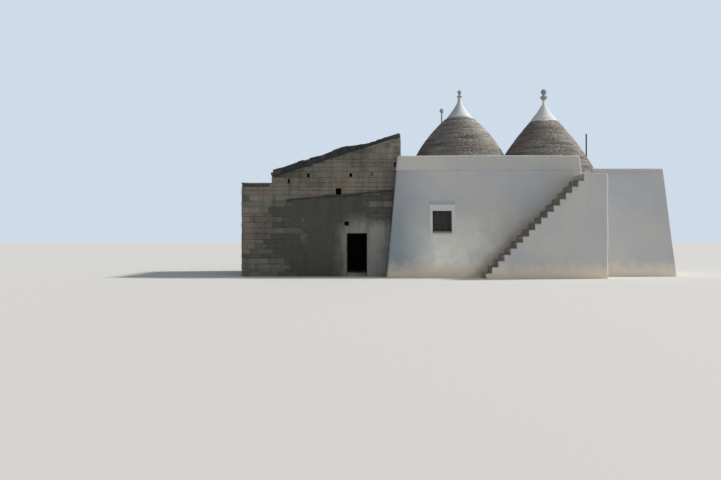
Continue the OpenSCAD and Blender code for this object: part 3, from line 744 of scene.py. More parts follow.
# near-black stone for the roof's verge and the drip course; on the drip course the near-black is painted
# shadow
vergeStone = stoneFinish(
    "vergeStone", "cone_stone",
    [(0.018, 0.021, 0.023), (0.035, 0.038, 0.038), (0.06, 0.062, 0.058)],
    (0.03, 0.036, 0.034), 0.6, paleShare=0.06)
pavingStone = stoneFinish(
    "pavingStone", "dressed_stone",
    [(0.40, 0.37, 0.31), (0.50, 0.47, 0.40), (0.56, 0.53, 0.47), (0.62, 0.59, 0.53)],
    (0.26, 0.25, 0.22), 0.45)
treadStone = stoneFinish(
    "treadStone", "dressed_stone",
    [(0.17, 0.14, 0.11), (0.25, 0.21, 0.165), (0.32, 0.28, 0.22), (0.40, 0.36, 0.30)],
    (0.11, 0.10, 0.08), 0.5)
darkMortar = stoneFinish("darkMortar", "cone_stone", [(0.07, 0.065, 0.06), (0.11, 0.10, 0.09)],
                         (0.05, 0.05, 0.045), 0.3)
barnMortar = stoneFinish("barnMortar", "barn_stone", [(0.06, 0.055, 0.045), (0.12, 0.11, 0.09)],
                         (0.06, 0.06, 0.05), 0.4)
firedClay = stoneFinish("firedClay", "barn_stone", [(0.15, 0.07, 0.045), (0.26, 0.13, 0.08)],
                        (0.09, 0.06, 0.045), 0.3)
oldRender = stoneFinish(
    "oldRender", "barn_stone",
    [(0.075, 0.073, 0.064), (0.12, 0.115, 0.10), (0.19, 0.185, 0.17), (0.28, 0.275, 0.26),
     (0.32, 0.315, 0.30)], (0.12, 0.115, 0.105), 0.35, 0.03, streaks=0.45, paleShare=0.08)
lintelStone = stoneFinish("lintelStone", "dressed_stone", [(0.20, 0.19, 0.18), (0.28, 0.27, 0.25)],
                          (0.13, 0.125, 0.115), 0.45, 0.03)
darkTimber = timberFinish("darkTimber", "dark_timber", (0.055, 0.054, 0.05),
                          (0.10, 0.096, 0.088), 0.7)
oldTimber = timberFinish("oldTimber", "old_timber", (0.10, 0.075, 0.055), (0.25, 0.20, 0.15), 0.85)
dullIron = ironFinish("dullIron", (0.05, 0.048, 0.046), (0.085, 0.05, 0.033), 0.75, 0.3)
zincSheet = ironFinish("zincSheet", (0.36, 0.38, 0.40), (0.26, 0.25, 0.24), 0.6, 0.4)
dustAndShadePane = paneFinish()
print("finishes made:", len(bpy.data.materials))

# the solids that stay as they are take a finish of their own
kept = {
    "house_floor": pavingStone, "barn_floor": pavingStone, "room_cross_wall": roomPlaster,
    "wing_cross_wall": roomPlaster, "left_inner_dome": roomPlaster,
    "right_inner_dome": roomPlaster, "window_glass": dustAndShadePane, "barn_purlins": oldTimber,
    "rear_door_frame": darkTimber, "window_frames": darkTimber,
}
for nodeName, finish in kept.items():
    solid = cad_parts[nodeName]
    solid.data.materials.clear()
    solid.data.materials.append(finish)


# Plastered walls

walls = {
    "cornerRound": 0.08, "jointRound": 0.016, "column": 0.15, "row": 0.16,
    "wave": 0.011, "ripple": 0.004, "arris": 0.06, "endRound": 0.07,
}
# the two windows are alike and lie half a turn apart, the rear one on the left cone's line
leftConeX = low("left_cone_cladding")[0] + high("left_cone_cladding")[1]
windowWidth = 2 * (high("window_frames")[0] - leftConeX)
frontWindow = {
    "left": low("window_frames")[0], "right": low("window_frames")[0] + windowWidth,
    "sill": low("window_frames")[2], "head": high("window_frames")[2],
}
rearWindow = dict(frontWindow, left=high("window_frames")[0] - windowWidth,
                  right=high("window_frames")[0])
rearDoor = {
    "left": low("rear_door_frame")[0], "right": high("rear_door_frame")[0],
    "sill": low("rear_door_frame")[2], "head": high("rear_door_frame")[2],
}
toLeft, toRight, toFront, toBack = np.array([(-1, 0), (1, 0), (0, -1), (0, 1)])


def station(x, y, out, inner, lean=None):
    # a place on the ground, its face's lean for each metre up, the way the face looks, and
    # the place behind it on the inner face
    lean = -house["batter"] * out if lean is None else lean
    return np.array([x, y, *lean, *out, *inner], float)


def cornerStations(x, y, fromOut, toOut, inner):
    # a quarter circle round a convex corner: its middle lies one radius inside both faces
    both = fromOut + toOut
    out = np.cos(quarter)[:, None] * fromOut + np.sin(quarter)[:, None] * toOut
    ring = np.array([x, y]) + walls["cornerRound"] * (out - both)
    return [station(*p, o, inner, -house["batter"] * both) for p, o in zip(ring, out)]


def trackOf(stations):
    # the stations with more between them, no further apart than a column, one value a row
    track = [stations[0]]
    for a, b in zip(stations[:-1], stations[1:]):
        parts = max(1, int(np.ceil(np.hypot(*(b[:2] - a[:2])) / walls["column"])))
        track += list(a + (b - a) * (np.arange(1, parts + 1) / parts)[:, None])
    return np.array(track).T[:, :, None]


def wallSolid(stations, openings):
    # the wall between its battered outer face, which is uneven and eased at the top edge,
    # and its upright inner face, with its openings left out
    top, topRound = house["terrace"], walls["jointRound"]
    levels = [spread(0, top - topRound, walls["row"]), top - topRound * (1 - np.sin(quarter))]
    levels += [[o["sill"], o["head"]] for o in openings]
    z = np.unique(np.round(np.concatenate(levels), 5))
    x, y, leanX, leanY, outX, outY, innerX, innerY = trackOf(stations)
    outer = grid(x + leanX * z, y + leanY * z, z)
    give = edgeGive(top - z, topRound) + wander(outer, (walls["wave"], 1.3, 3),
                                                (walls["ripple"], 0.3, 4))
    outer -= grid(outX * give, outY * give, 0)
    middle = (x[1:] + x[:-1]) / 2
    facing = np.abs(outY[1:] + outY[:-1]) > 1.5
    rise = (z[1:] + z[:-1]) / 2
    keep = np.ones((len(middle), len(rise)), bool)
    for o in openings:
        inside = facing & (middle > o["left"]) & (middle < o["right"])
        keep &= ~(inside & (rise > o["sill"]) & (rise < o["head"]))
    return sheetSolid(outer, grid(innerX, innerY, z), keep)


def faceLine(y, out, places):
    # stations along the front or the back, each with its inner place straight behind it
    return [station(x, y, out, (x, math.copysign(house["roomHalf"], y))) for x in places]


def houseWalls():
    # stations round the plan: each wall's line runs from its first corner to its last with the
    # face on its right, and the corners that stand out are quarter circles
    left, right, half = house["roomLeft"], house["roomRight"], house["roomHalf"]
    front, back, end = house["front"], house["back"], house["right"]
    wing, total, backEdge = house["wingFront"], house["wingRight"], high("back_wall")[0]
    fork = house["batter"] * np.array([-1, 1])
    lines = {
        "frontWall": [station(0, -half, toLeft, (left, -half))]
        + cornerStations(0, front, toLeft, toFront, (left, -half))
        + faceLine(front, toFront, (frontWindow["left"], frontWindow["right"]))
        + cornerStations(end, front, toFront, toRight, (end - 0.3, -half))
        + [station(end, wing, toRight, (end, -half), fork)],
        "wingFrontWall": [station(end, wing, toFront, (end, -half), fork)]
        + cornerStations(total, wing, toFront, toRight, (right, -half))
        + [station(total, -half, toRight, (right, -half))],
        "wingEndWall": [station(total, y, toRight, (right, y)) for y in (-half, half)],
        "wingBackWall": [station(total, half, toRight, (right, half))]
        + cornerStations(total, back, toRight, toBack, (right, half))
        + faceLine(back, toBack, [backEdge]),
        "backWall": faceLine(back, toBack, (backEdge, rearDoor["right"], rearDoor["left"],
                                            rearWindow["right"], rearWindow["left"]))
        + cornerStations(0, back, toBack, toLeft, (left, half))
        + [station(0, half, toLeft, (left, half))],
        "leftWall": [station(0, y, toLeft, (left, y)) for y in (half, -half)],
    }
    openings = {"frontWall": [frontWindow], "backWall": [rearWindow, rearDoor]}
    for name, line in lines.items():
        makePiece(name, wallSolid(line, openings.get(name, [])), facadePlaster, [nodeOf(name)], 40,
                  weld=True)


def parapetSolid(outerY, innerY, left, right, side):
    # an upright profile with rounded arrises, carried along x; its face leans with the wall
    b, bottom, top = house["batter"], house["terrace"], house["parapetTop"]
    r, joint, far = walls["arris"], walls["jointRound"], walls["endRound"]
    rise = spread(bottom + joint, top - r, 0.11)
    inset = np.concatenate([joint * (1 - np.cos(arrisDown)), rise * 0, r * (1 - np.cos(arrisUp)),
                            r * (1 - np.cos(arrisDown)), rise * 0, [0, 0.05]])
    z = np.concatenate([bottom + joint * (1 - np.sin(arrisDown)), rise,
                        top - r * (1 - np.sin(arrisUp)), top - r * (1 - np.sin(arrisDown)),
                        rise[::-1], [bottom, bottom]])
    inner = np.arange(len(z)) >= len(rise) + 2 * len(arrisUp)
    rim = np.array([0, 0.012, 0.035, far])
    x = np.concatenate([rim, spread(0.16, right - left - 0.16, 0.14), right - left - rim[::-1]])
    outside = outerY + side * (-inset + b * (bottom - z))
    lean = b * (z - bottom) * (1 - 2 * x / x[-1])[:, None]
    points = grid(left + x[:, None] + lean, np.where(inner, innerY + side * inset, outside), z)
    shrink = edgeGive(np.minimum(x, x[-1] - x), far)[:, None]
    wave = wander(points, (walls["wave"], 1.0, 5), (walls["ripple"], 0.3, 6))
    points[..., 1] -= np.where(inner, -side, side) * (wave + shrink * 0.7)
    sag = wander(points, (0.02, 1.6, 8), (0.006, 0.4, 9))
    points[..., 2] -= asShare((z - bottom) / (top - bottom)) * (sag + shrink)
    return loft(points)


kerb = {"thick": 0.22, "round": 0.05, "top": high("wing_kerb")[2]}
kerb["inset"] = house["batter"] * kerb["top"] + kerb["thick"]  # inner face, from the ground line


def wingKerb():
    # a low profile with rounded arrises, carried round the wing's open sides: a point is
    # blended by its share of the thickness between the leaning outer face and the inner one
    bottom, top, r, wide = house["terrace"], kerb["top"], kerb["round"], kerb["thick"]
    wing, total, back = house["wingFront"], house["wingRight"], house["back"]
    inX, inFront, inBack = total - kerb["inset"], wing + kerb["inset"], back - kerb["inset"]
    start, end = high("stair_landing")[0], low("wing_kerb")[0] - 0.02
    line = [station(start, wing, toFront, (start, inFront))]
    line += cornerStations(total, wing, toFront, toRight, (inX, inFront))
    line += cornerStations(total, back, toRight, toBack, (inX, inBack))
    line += [station(end, back, toBack, (end, inBack))]
    x, y, leanX, leanY, outX, outY, innerX, innerY = trackOf(line)
    rise = spread(bottom, top - r, 0.06)
    share = np.concatenate([rise * 0, r - r * np.cos(arrisUp), wide - r + r * np.cos(arrisDown),
                            rise * 0 + wide]) / wide
    z = np.concatenate([rise, top - r + r * np.sin(arrisUp), top - r + r * np.sin(arrisDown),
                        rise[::-1]])
    points = grid((x + leanX * z) * (1 - share) + innerX * share,
                  (y + leanY * z) * (1 - share) + innerY * share, z)
    give = wander(points, (walls["wave"], 1.3, 3)) * (1 - share)
    points -= grid(outX * give, outY * give, 0)
    sag = wander(points, (0.012, 1.4, 7), (0.005, 0.3, 8))
    points[..., 2] -= (z - bottom) / (top - bottom) * sag
    return loft(points)


def parapets():
    # front and back parapets on the walls' leaning faces, and the kerb round the wing
    left, right = low("front_parapet")[0], high("front_parapet")[0]
    lean = house["batter"] * house["terrace"]
    frontY, backY = high("front_parapet")[1], low("back_parapet")[1]
    solids = {
        "frontParapet": parapetSolid(house["front"] + lean, frontY, left, right, -1),
        "backParapet": parapetSolid(house["back"] - lean, backY, left + 0.24, right, 1),
        "wingKerb": wingKerb(),
    }
    for name, solid in solids.items():
        makePiece(name, solid, parapetPlaster, [nodeOf(name)], 40)


# Terrace

cones = {
    "baseR": (high("left_cone_cladding")[1] - low("left_cone_cladding")[1]) / 2,
    "cladding": 0.35, "holeR": 1.6, "course": 0.068, "width": (0.12, 0.4), "depth": 0.2,
    "edge": 0.0035, "lean": 0.86,
}
# two shares below shift each stone's tone by its turn round the cone: lighter towards the sunlit right,
# darker towards the left, lighter flanks on the left cone and darker flanks on the right one; this is
# painted light and shade
cones["left"] = {
    "x": low("left_cone_cladding")[0] + cones["baseR"], "topR": 0.71, "bulge": 0.285,
    "tone": 0.36, "bleach": 0.19, "flanks": 0.13,
}
cones["right"] = {
    "x": high("right_cone_cladding")[0] - cones["baseR"], "topR": 0.645, "bulge": 0.13,
    "tone": 0.43, "bleach": 0.09, "flanks": -0.24,
}
for side in ("left", "right"):
    cladding = side + "_cone_cladding"
    cones[side].update(bottom=low(cladding)[2], top=high(cladding)[2])
cones["middle"] = (cones["left"]["x"] + cones["right"]["x"]) / 2
paving = {"row": (0.38, 0.55), "length": (0.45, 0.95), "gap": 0.012, "proud": 0.018}


def deckPatch(axisX, holeR, left, right):
    # from a circle to the edge of a rectangle: at turn t a ray leaves the axis, and the patch
    # lies between the hole's radius and the length at which that ray meets the rectangle
    half = house["roomHalf"]
    fix = [math.atan2(y, x - axisX) % fullTurn for x in (left, right) for y in (-half, half)]
    turn = np.unique(np.append(around(72), fix))[:, None]
    c, s = np.cos(turn), np.sin(turn)
    farX = np.where(c > 0, right - axisX, axisX - left) / np.maximum(np.abs(c), 1e-9)
    far = np.minimum(farX, half / np.maximum(np.abs(s), 1e-9))
    reach = holeR + (far - holeR) * np.linspace(0, 1, 5)
    top, under = (ringAbout(axisX, 0, reach, turn, house[z]) for z in ("terrace", "slabUnder"))
    return sheetSolid(top, under, wrap=True)


def terraceDeck():
    # the slab, with a round hole under each cone
    half, edge = house["roomHalf"], high("back_wall")[0]
    places = (house["roomLeft"], cones["middle"], edge)
    decks = [deckPatch(cones[side]["x"], cones["holeR"], x0, x1)
             for side, x0, x1 in zip(("left", "right"), places[:-1], places[1:])]
    x, y = spread(edge, house["roomRight"], 0.5)[:, None], spread(-half, half, 0.5)
    decks.append(sheetSolid(*(grid(x, y, house[z]) for z in ("terrace", "slabUnder"))))
    makePiece("terraceDeck", decks, pavingStone, ["roof_terrace"])


def terracePaving():
    # rows of flat stones, left out where a cone or the edge of the wing is
    top, joint = house["terrace"], 0.01
    blockEnd = house["right"] - house["batter"] * top
    rows, y = [], high("front_parapet")[1] + joint
    last = house["back"] - kerb["inset"] - joint
    while y < last - 0.1:
        deep = min(chance.uniform(*paving["row"]), last - y)
        start, end = high("barn_party_wall")[0] + 0.04, house["wingRight"] - kerb["inset"] - joint
        if y + deep > low("back_parapet")[1] - joint:
            start = blockEnd + 0.05
        if y < house["wingFront"] + kerb["inset"] + joint:
            end = blockEnd - 0.1
        edges = [start]
        while edges[-1] < end - 0.3:
            edges.append(edges[-1] + chance.uniform(*paving["length"]))
        edges = np.array(edges[:-1] + [end])
        rows.append(grid(*between(edges, 0), y, y + deep))
        y += deep
    rows = np.concatenate(rows)
    farY = np.abs(rows[:, 2:]).max(1)
    for side in ("left", "right"):
        farX = np.abs(rows[:, :2] - cones[side]["x"]).max(1)
        far = np.hypot(farX, farY) > cones["baseR"] - 0.1
        rows, farY = rows[far], farY[far]
    gap = paving["gap"] / 2
    u0, u1, v0, v1 = (rows + [gap, -gap, gap, -gap]).T
    corners = shaken(cornersOf(u0, u1, v0, v1, top - 0.03, top + paving["proud"]),
                     [0.008, 0.008, 0.004])
    tone = chance.uniform(0, 1, len(corners))
    makePiece("terracePaving", blocks(corners, 0.008, tone), pavingStone)


houseWalls()
parapets()
terraceDeck()
terracePaving()
print("plastered walls, parapets and terrace made")


# Cones

def coneRadius(cone, u):
    # straight taper from base to top, and a parabola that is widest halfway up
    return cones["baseR"] + (cone["topR"] - cones["baseR"]) * u + cone["bulge"] * 4 * u * (1 - u)


def heldToSide(points, side):
    # a cone ends at the upright plane halfway to the other cone
    limit = np.minimum if side == "left" else np.maximum
    points[..., 0] = limit(points[..., 0], cones["middle"])
    return points


def coneRows(side):
    # level courses round the cone: each stone fills a chance share of its ring, and one past
    # the plane between the cones is left out
    cone = cones[side]
    tall = cone["top"] - cone["bottom"]
    level = stepped(chance.uniform(0.65, 1.35, int(round(tall / cones["course"]))))
    rows = []
    for here, above in zip(level[:-1], level[1:]):
        radius = coneRadius(cone, here)
        widths = chance.uniform(*cones["width"], int(fullTurn * radius / np.mean(cones["width"])))
        turn = stepped(widths) * fullTurn + chance.uniform(0, fullTurn)
        step = (radius - coneRadius(cone, above)) * cones["lean"]
        radius -= chance.uniform(0, 0.009)
        rows.append(grid(*between(turn, 0), radius, step, here, above))
    rows = np.concatenate(rows)
    past = cone["x"] + rows[:, 2] * np.cos(rows[:, :2].mean(1)) - cones["middle"]
    return rows[past * (1 if side == "left" else -1) < 0.08].T


def coneStones(side):
    # thin slabs in the courses: each runs back into the wall, follows the cone's slope with
    # its upper arris and tips a little outwards
    cone = cones[side]
    start, end, radius, step, z0, z1 = coneRows(side)
    tall = cone["top"] - cone["bottom"]
    z0, z1 = cone["bottom"] + z0 * tall, cone["bottom"] + z1 * tall
    gap, total = 0.0003 / radius, len(radius)
    proud = chance.uniform(-0.002, 0.001, total)
    corners = cornersOf(start + gap, end - gap, radius - cones["depth"], radius + proud,
                        z0 + 0.001, z1 - chance.uniform(0.003, 0.007, total))
    corners = shaken(corners, [0.0015, 0.001, 0.003])
    corners[:, [3, 7], 1] -= step[:, None]
    tipped = np.tile([0, 0, 1, 1], 2) * chance.uniform(0.002, 0.006, total)[:, None]
    corners[..., 2] = np.maximum(corners[..., 2] - tipped, cone["bottom"] + 0.001)
    corners[..., 0] *= radius[:, None]  # a turn as a length, so that edges round in metres

    def bend(p):
        ring = ringAbout(cone["x"], 0, p[..., 1], p[..., 0] / radius[:, None], p[..., 2])
        return heldToSide(ring, side)

    # tone: a share of its own, a broad cloud, flat streaks that run along the courses, painted
    # light towards the sunlit right and painted shade towards the left, and painted light on
    # both flanks of the left cone and painted shade on both flanks of the right one
    turn = (start + end) / 2
    middle, sideways = ringAbout(cone["x"], 0, radius, turn, z0), np.cos(turn)
    tone = cone["tone"] + 0.06 * chance.uniform(-1, 1, total) + 0.16 * pattern(middle, 0.8, 21)
    tone += 0.4 * pattern(middle * [1, 1, 11], 0.75, 22)
    tone += cone["bleach"] * sideways + cone["flanks"] * sideways ** 2
    return blocks(corners, cones["edge"], asShare(tone), slabBlock, bend)


def coneCore(side):
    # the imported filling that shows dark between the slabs, down to the dome's own stones
    cone = cones[side]
    turn = around(96)[:, None]
    u = np.linspace(0, 1, 15)
    z = cone["bottom"] + u * (cone["top"] - cone["bottom"])
    return sheetSolid(*(heldToSide(ringAbout(cone["x"], 0, coneRadius(cone, u) - inset, turn, z), side)
                        for inset in (0.055, cones["cladding"])), wrap=True)


cap = {"seatH": 0.11, "bellH": 0.85, "power": 1.2, "neckR": {"left": 0.085, "right": 0.06}}


def pinnacle(side):
    # a mortar ring, a bell that narrows as (1 - t) ** power and a neck, turned about one
    # axis and uneven as if smoothed by hand
    lowest, highest = low(side + "_pinnacle"), high(side + "_pinnacle")
    neckR, seatH, bellH = cap["neckR"][side], cap["seatH"], cap["bellH"]
    x0, seatR = (lowest[0] + highest[0]) / 2, (highest[0] - lowest[0]) / 2
    tall = highest[2] - lowest[2]
    t = np.linspace(0, 1, 22)
    bell = neckR + (seatR - 0.03 - neckR) * (1 - t) ** cap["power"]
    rise = seatH + 0.015 + (bellH - seatH - 0.015) * t
    seat, foot = [seatR - 0.03, seatR - 0.008], [0, 0.012]
    if side == "right":  # this cap's mortar spreads down over the top course
        seat, foot = [0.66, 0.70, 0.698, 0.67], [-0.075, -0.07, -0.055, -0.012]
    radius = np.concatenate([seat, [seatR, seatR - 0.004], bell, [neckR, neckR * 0.96]])[:, None]
    z = np.concatenate([foot, [0.05, seatH - 0.02], rise, [bellH + 0.5 * (tall - bellH), tall]])
    turn = around(48)
    ring = ringAbout(x0, 0, radius, turn, lowest[2] + z[:, None])
    swell = 1 - wander(ring, (0.03, 0.35, 31)) * np.minimum(radius / 0.3, 1)
    ring = ringAbout(x0, 0, radius * swell, turn, ring[..., 2])
    # painted shade: the left cap is bluer and darker on the side turned from the sun
    worn = 0.5 + 0.5 * np.cos(turn) if side == "left" else np.ones(len(turn))
    return loft(ring, tone=np.tile(worn, len(ring)))


def finial(side):
    # a profile of rims and a ball that runs from 0.18 to 0.985 of its upright axis
    lowest, highest = low(side + "_finial"), high(side + "_finial")
    wide, top = (highest[0] - lowest[0]) / 2, highest[2]
    if side == "left":
        ball = 0.095
        rims = [(wide - 0.02, 0), (wide - 0.004, 0.008), (wide, 0.025), (wide - 0.006, 0.042),
                (wide - 0.03, 0.052), (0.06, 0.066), (0.05, 0.1)]
    else:
        ball = 0.131
        rims = [(0.06, 0), (0.1, 0.04), (wide - 0.01, 0.11), (wide, 0.125), (wide, 0.137),
                (wide - 0.012, 0.15), (0.09, 0.21), (0.055, 0.25)]
    profile = [(r, lowest[2] + z) for r, z in rims]
    profile += [(ball * math.sin(a), top - ball - ball * math.cos(a))
                for a in np.linspace(math.acos(0.64), math.acos(-0.97), 12)]
    return turned(profile, (lowest[0] + highest[0]) / 2, 0)


for side in ("left", "right"):
    makePiece(side + "ConeCore", coneCore(side), darkMortar, [side + "_cone_cladding"], weld=True)
    makePiece(side + "ConeStones", coneStones(side), coneStone)
    makePiece(side + "Pinnacle", pinnacle(side), capPlaster, [side + "_pinnacle"], 50)
    makePiece(side + "Finial", finial(side), finialStone, [side + "_finial"], 40)
print("cones and pinnacles made")


# Barn

barn = {
    "left": low("barn_left_wall")[0], "front": low("barn_front_wall")[1],
    "back": high("barn_back_wall")[1], "right": high("barn_party_wall")[0],
    "bearing": low("barn_roof_slabs")[0], "shelf": 4.05, "top": high("barn_roof_slabs")[2],
    "roof": 0.15, "slope": math.tan(math.radians(17.3)), "length": (0.24, 0.92), "depth": 0.14,
    "quoin": 0.34, "gap": 0.008, "uneven": 0.012, "shake": 0.006, "edge": 0.009, "inset": 0.028,
}
drip = {
    "left": low("barn_drip_course")[0], "right": high("barn_drip_course")[0], "slope": 0.09,
    "low": low("barn_drip_course")[2], "high": high("barn_drip_course")[2], "thick": 0.06,
}
doorway = {
    "left": low("barn_door_lintel")[0] + 0.2, "right": high("barn_door_lintel")[0] - 0.2,
    "head": low("barn_door_lintel")[2], "lintelTop": high("barn_door_lintel")[2], "bearing": 0.2,
}
doorHole = (doorway["left"], doorway["right"], 0, doorway["head"])
ventHoles = [  # left, right, bottom and top of each hole in the gable
    (-4.24, -4.14, 4.005, 4.205), (-3.4075, -3.2925, 4.27, 4.45), (-1.585, -1.445, 4.30, 4.45),
    (-0.68, -0.54, 4.345, 4.485), (-2.175, -1.925, 3.53, 3.80), (-1.795, -1.605, 2.205, 2.365),
    (0.345, 0.435, 4.69, 5.02),
]


def underRoof(x):
    # the roof's underside is a plane that falls away from the house
    return barn["top"] - barn["roof"] - (barn["right"] - x) * barn["slope"]


def dripTop(x):
    # a straight line that climbs towards the house
    return drip["high"] - (drip["right"] - x) * drip["slope"]


def gableLeft(z):
    # the left wall's face up to its flat top, and then the line where the roof bears
    return np.where(np.asarray(z) < barn["shelf"] - 0.01, barn["left"], barn["bearing"])


def gableRight(z):
    # the house's leaning end, and above the terrace the end of the party wall
    onTerrace = np.asarray(z) > house["terrace"] - 0.01
    return np.where(onTerrace, barn["right"], house["batter"] * np.asarray(z))


def alike(height):
    # a limit or a top that is the same all along
    return lambda along: np.full(np.shape(along), float(height))


bare = {"x": -0.32, "z": 3.02, "halfWide": 0.62, "halfTall": 0.66}


def bareShare(x, z):
    # a soft patch right of the doorway where the plaster fell and left clean stones:
    # exp(-(x / half width) ** 4 - (z / half height) ** 4) about its middle
    return np.exp(-((x - bare["x"]) / bare["halfWide"]) ** 4
                  - ((z - bare["z"]) / bare["halfTall"]) ** 4)


def courseLevels(marks, size):
    # course heights vary by chance between marks that must lie on a joint
    out = [marks[0]]
    for a, b in zip(marks[:-1], marks[1:]):
        heights = chance.uniform(0.6, 1.4, max(1, int(round((b - a) / size))))
        out += list(a + (b - a) * stepped(heights)[1:])
    return out


def layStones(part, stones, place):
    # stones are corners and tones; place moves points onto the wall's face
    makePiece(f"barn{part}Stones", blocks(stones[0], barn["edge"], stones[1], fineBlock, place),
              barnStone)


def barnCores():
    # the walls' own solids in mortar, set back from the faces that the stones cover
    inset = barn["inset"]
    ends = [(0, barn["left"], inset), (0, barn["right"], -inset), (2, barn["shelf"], -inset)]
    jambs = [(0, doorway["left"], -0.02), (0, doorway["right"], 0.02)]
    cores = {
        "Front": [(1, barn["front"], inset)] + jambs, "Back": [(1, barn["back"], -inset)],
        "Left": [(0, barn["bearing"], inset)], "Party": [],
    }
    for part, moves in cores.items():
        node = f"barn_{part.lower()}_wall"
        makePiece(f"barn{part}Core", setBack(node, ends + moves), barnMortar, [node], weld=True)


def weatheredAndShaded(box, tone):
    # darker under the drip course, painted shade just under the roof's edge, and paler at the right end
    # above the drip course
    x, z = box[..., 0].mean(1), box[..., 2].mean(1)
    sooty = asShare((dripTop(x) - z) / 0.2) * asShare((x + 6.2) / 1.6)
    sooty *= 1 - 0.4 * bareShare(x, z)
    # painted shade: the stones are darker just under the roof's edge
    paintedShadeUnderRoof = asShare(1.3 - (underRoof(x) - z) / 0.22)
    # paler stones at the right end, above the drip course
    worn = asShare((x + 0.1) / 0.3) * (z > dripTop(x))
    return box, asShare(tone + 0.06 - 0.46 * sooty - 0.3 * paintedShadeUnderRoof + 0.28 * worn)


def barnWalls():
    # courses of stones laid over all four walls, which interlock at the corners
    f, b, left, right = barn["front"], barn["back"], barn["left"], barn["right"]
    shelf, terrace = barn["shelf"], house["terrace"]
    levels = courseLevels([0, doorway["head"], doorway["lintelTop"], drip["low"], shelf, terrace,
                           barn["top"]], 0.215)
    bearing = doorway["bearing"]
    lintel = (doorway["left"] - bearing, doorway["right"] + bearing, *doorHole[3:],
              doorway["lintelTop"])
    limits, quoins = (gableLeft, gableRight), ((-1, shelf - 0.05), (terrace - 0.05, 9))
    stones = courseStones(levels, barn, limits, underRoof, [doorHole, lintel] + ventHoles, quoins)
    layStones("Front", weatheredAndShaded(*stones), lambda p: grid(p[..., 0], f + p[..., 1], p[..., 2]))
    layStones("Back", courseStones(levels, barn, limits, underRoof, (), quoins),
              lambda p: grid(p[..., 0], b - p[..., 1], p[..., 2]))
    limits, quoins = (alike(f), alike(b)), ((-1, 9), (-1, 9))
    lower = [z for z in levels if z < shelf + 0.01]
    layStones("Left", courseStones(lower, barn, limits, alike(shelf - 0.03), (), quoins, 1),
              lambda p: grid(left + p[..., 1], p[..., 0], p[..., 2]))
    upper = [z for z in levels if z > terrace - 0.01]
    parity = 1 + len(levels) - len(upper)
    layStones("Party", courseStones(upper, barn, limits, alike(underRoof(right)), (), quoins, parity),
              lambda p: grid(right - p[..., 1], p[..., 0], p[..., 2]))


def barnShelf():
    # the flat top of the left wall, and the low face between it and the roof
    f, b, shelf, bearing = barn["front"], barn["back"], barn["shelf"], barn["bearing"]
    rows, gap = [], 0.004
    for u in np.arange(barn["left"], bearing - 0.1, 0.435):
        rows.append(grid(u, u + 0.43, *between(chanceWidths(f, b, (0.3, 0.7), 0.2), 0)))
    u0, u1, v0, v1 = np.concatenate(rows).T
    box = cornersOf(u0 + gap, np.minimum(u1, bearing) - gap, v0 + gap, v1 - gap, shelf - 0.07, shelf)
    box[..., 2] -= chance.uniform(0, 0.016, box[..., 2].shape)
    step = cornersOf(bearing + gap, bearing + 0.12,
                     *between(jointsAlong(f, b, 0.47), gap), shelf - 0.02,
                     float(underRoof(bearing)))
    box = np.concatenate([box, step])
    tone = chance.uniform(0.1, 0.8, len(box))
    makePiece("barnShelfStones", blocks(box, 0.012, tone, fineBlock), barnStone)


def barnTrim():
    # the lintel over the doorway, the drip course, and the clay stopper in one of the holes
    f, bearing = barn["front"], doorway["bearing"]
    lintel = roughStone([doorway["left"] - bearing, f - 0.012, doorway["head"] + 0.002],
                        [doorway["right"] + bearing, f + 0.66, doorway["lintelTop"] - 0.004],
                        0.07, 0.025, 0.014, 5, 0.35)
    makePiece("barnDoorLintel", lintel, lintelStone, ["barn_door_lintel"], 40)
    # the drip course: thin slabs end to end on a line that climbs towards the house
    start, end, thick = drip["left"], drip["right"] - 0.004, drip["thick"]
    rise = (drip["high"] - drip["low"] - thick) / (end - start)
    joints = jointsAlong(start, end, 0.52, 0.1)
    box = shaken(cornersOf(*between(joints, 0.003), -thick, 0.1, 0, thick), [0.002, 0.007, 0.004])
    box[..., 1] = np.maximum(box[..., 1], -thick)

    def place(p):
        x, y, z = np.moveaxis(p, -1, 0)
        return grid(np.where(x > end - 0.05, x - 0.006, x), f + y, drip["low"] + (x - start) * rise + z)

    slabs = blocks(box, 0.01, chance.uniform(0, 1, len(box)), fineBlock, place)
    # painted shadow: the near-black verge finish stands in for the dark line the course casts
    makePiece("barnDripCourse", slabs, vergeStone, ["barn_drip_course"])
    a, b, c, d = ventHoles[3]
    stopper = roughStone([a + 0.004, f + 0.03, c + 0.004], [b - 0.004, f + 0.2, d - 0.004], 0.04, 0.01,
                         0.006, 6)
    makePiece("barnHoleStopper", stopper, firedClay, (), 40)


remains = {"left": -4.4, "right": 0.3, "top": 3.7, "step": 0.036, "middle": -0.66, "half": 0.8,
           "full": 1.95, "thick": 0.012, "swell": 0.03, "rim": 0.012}


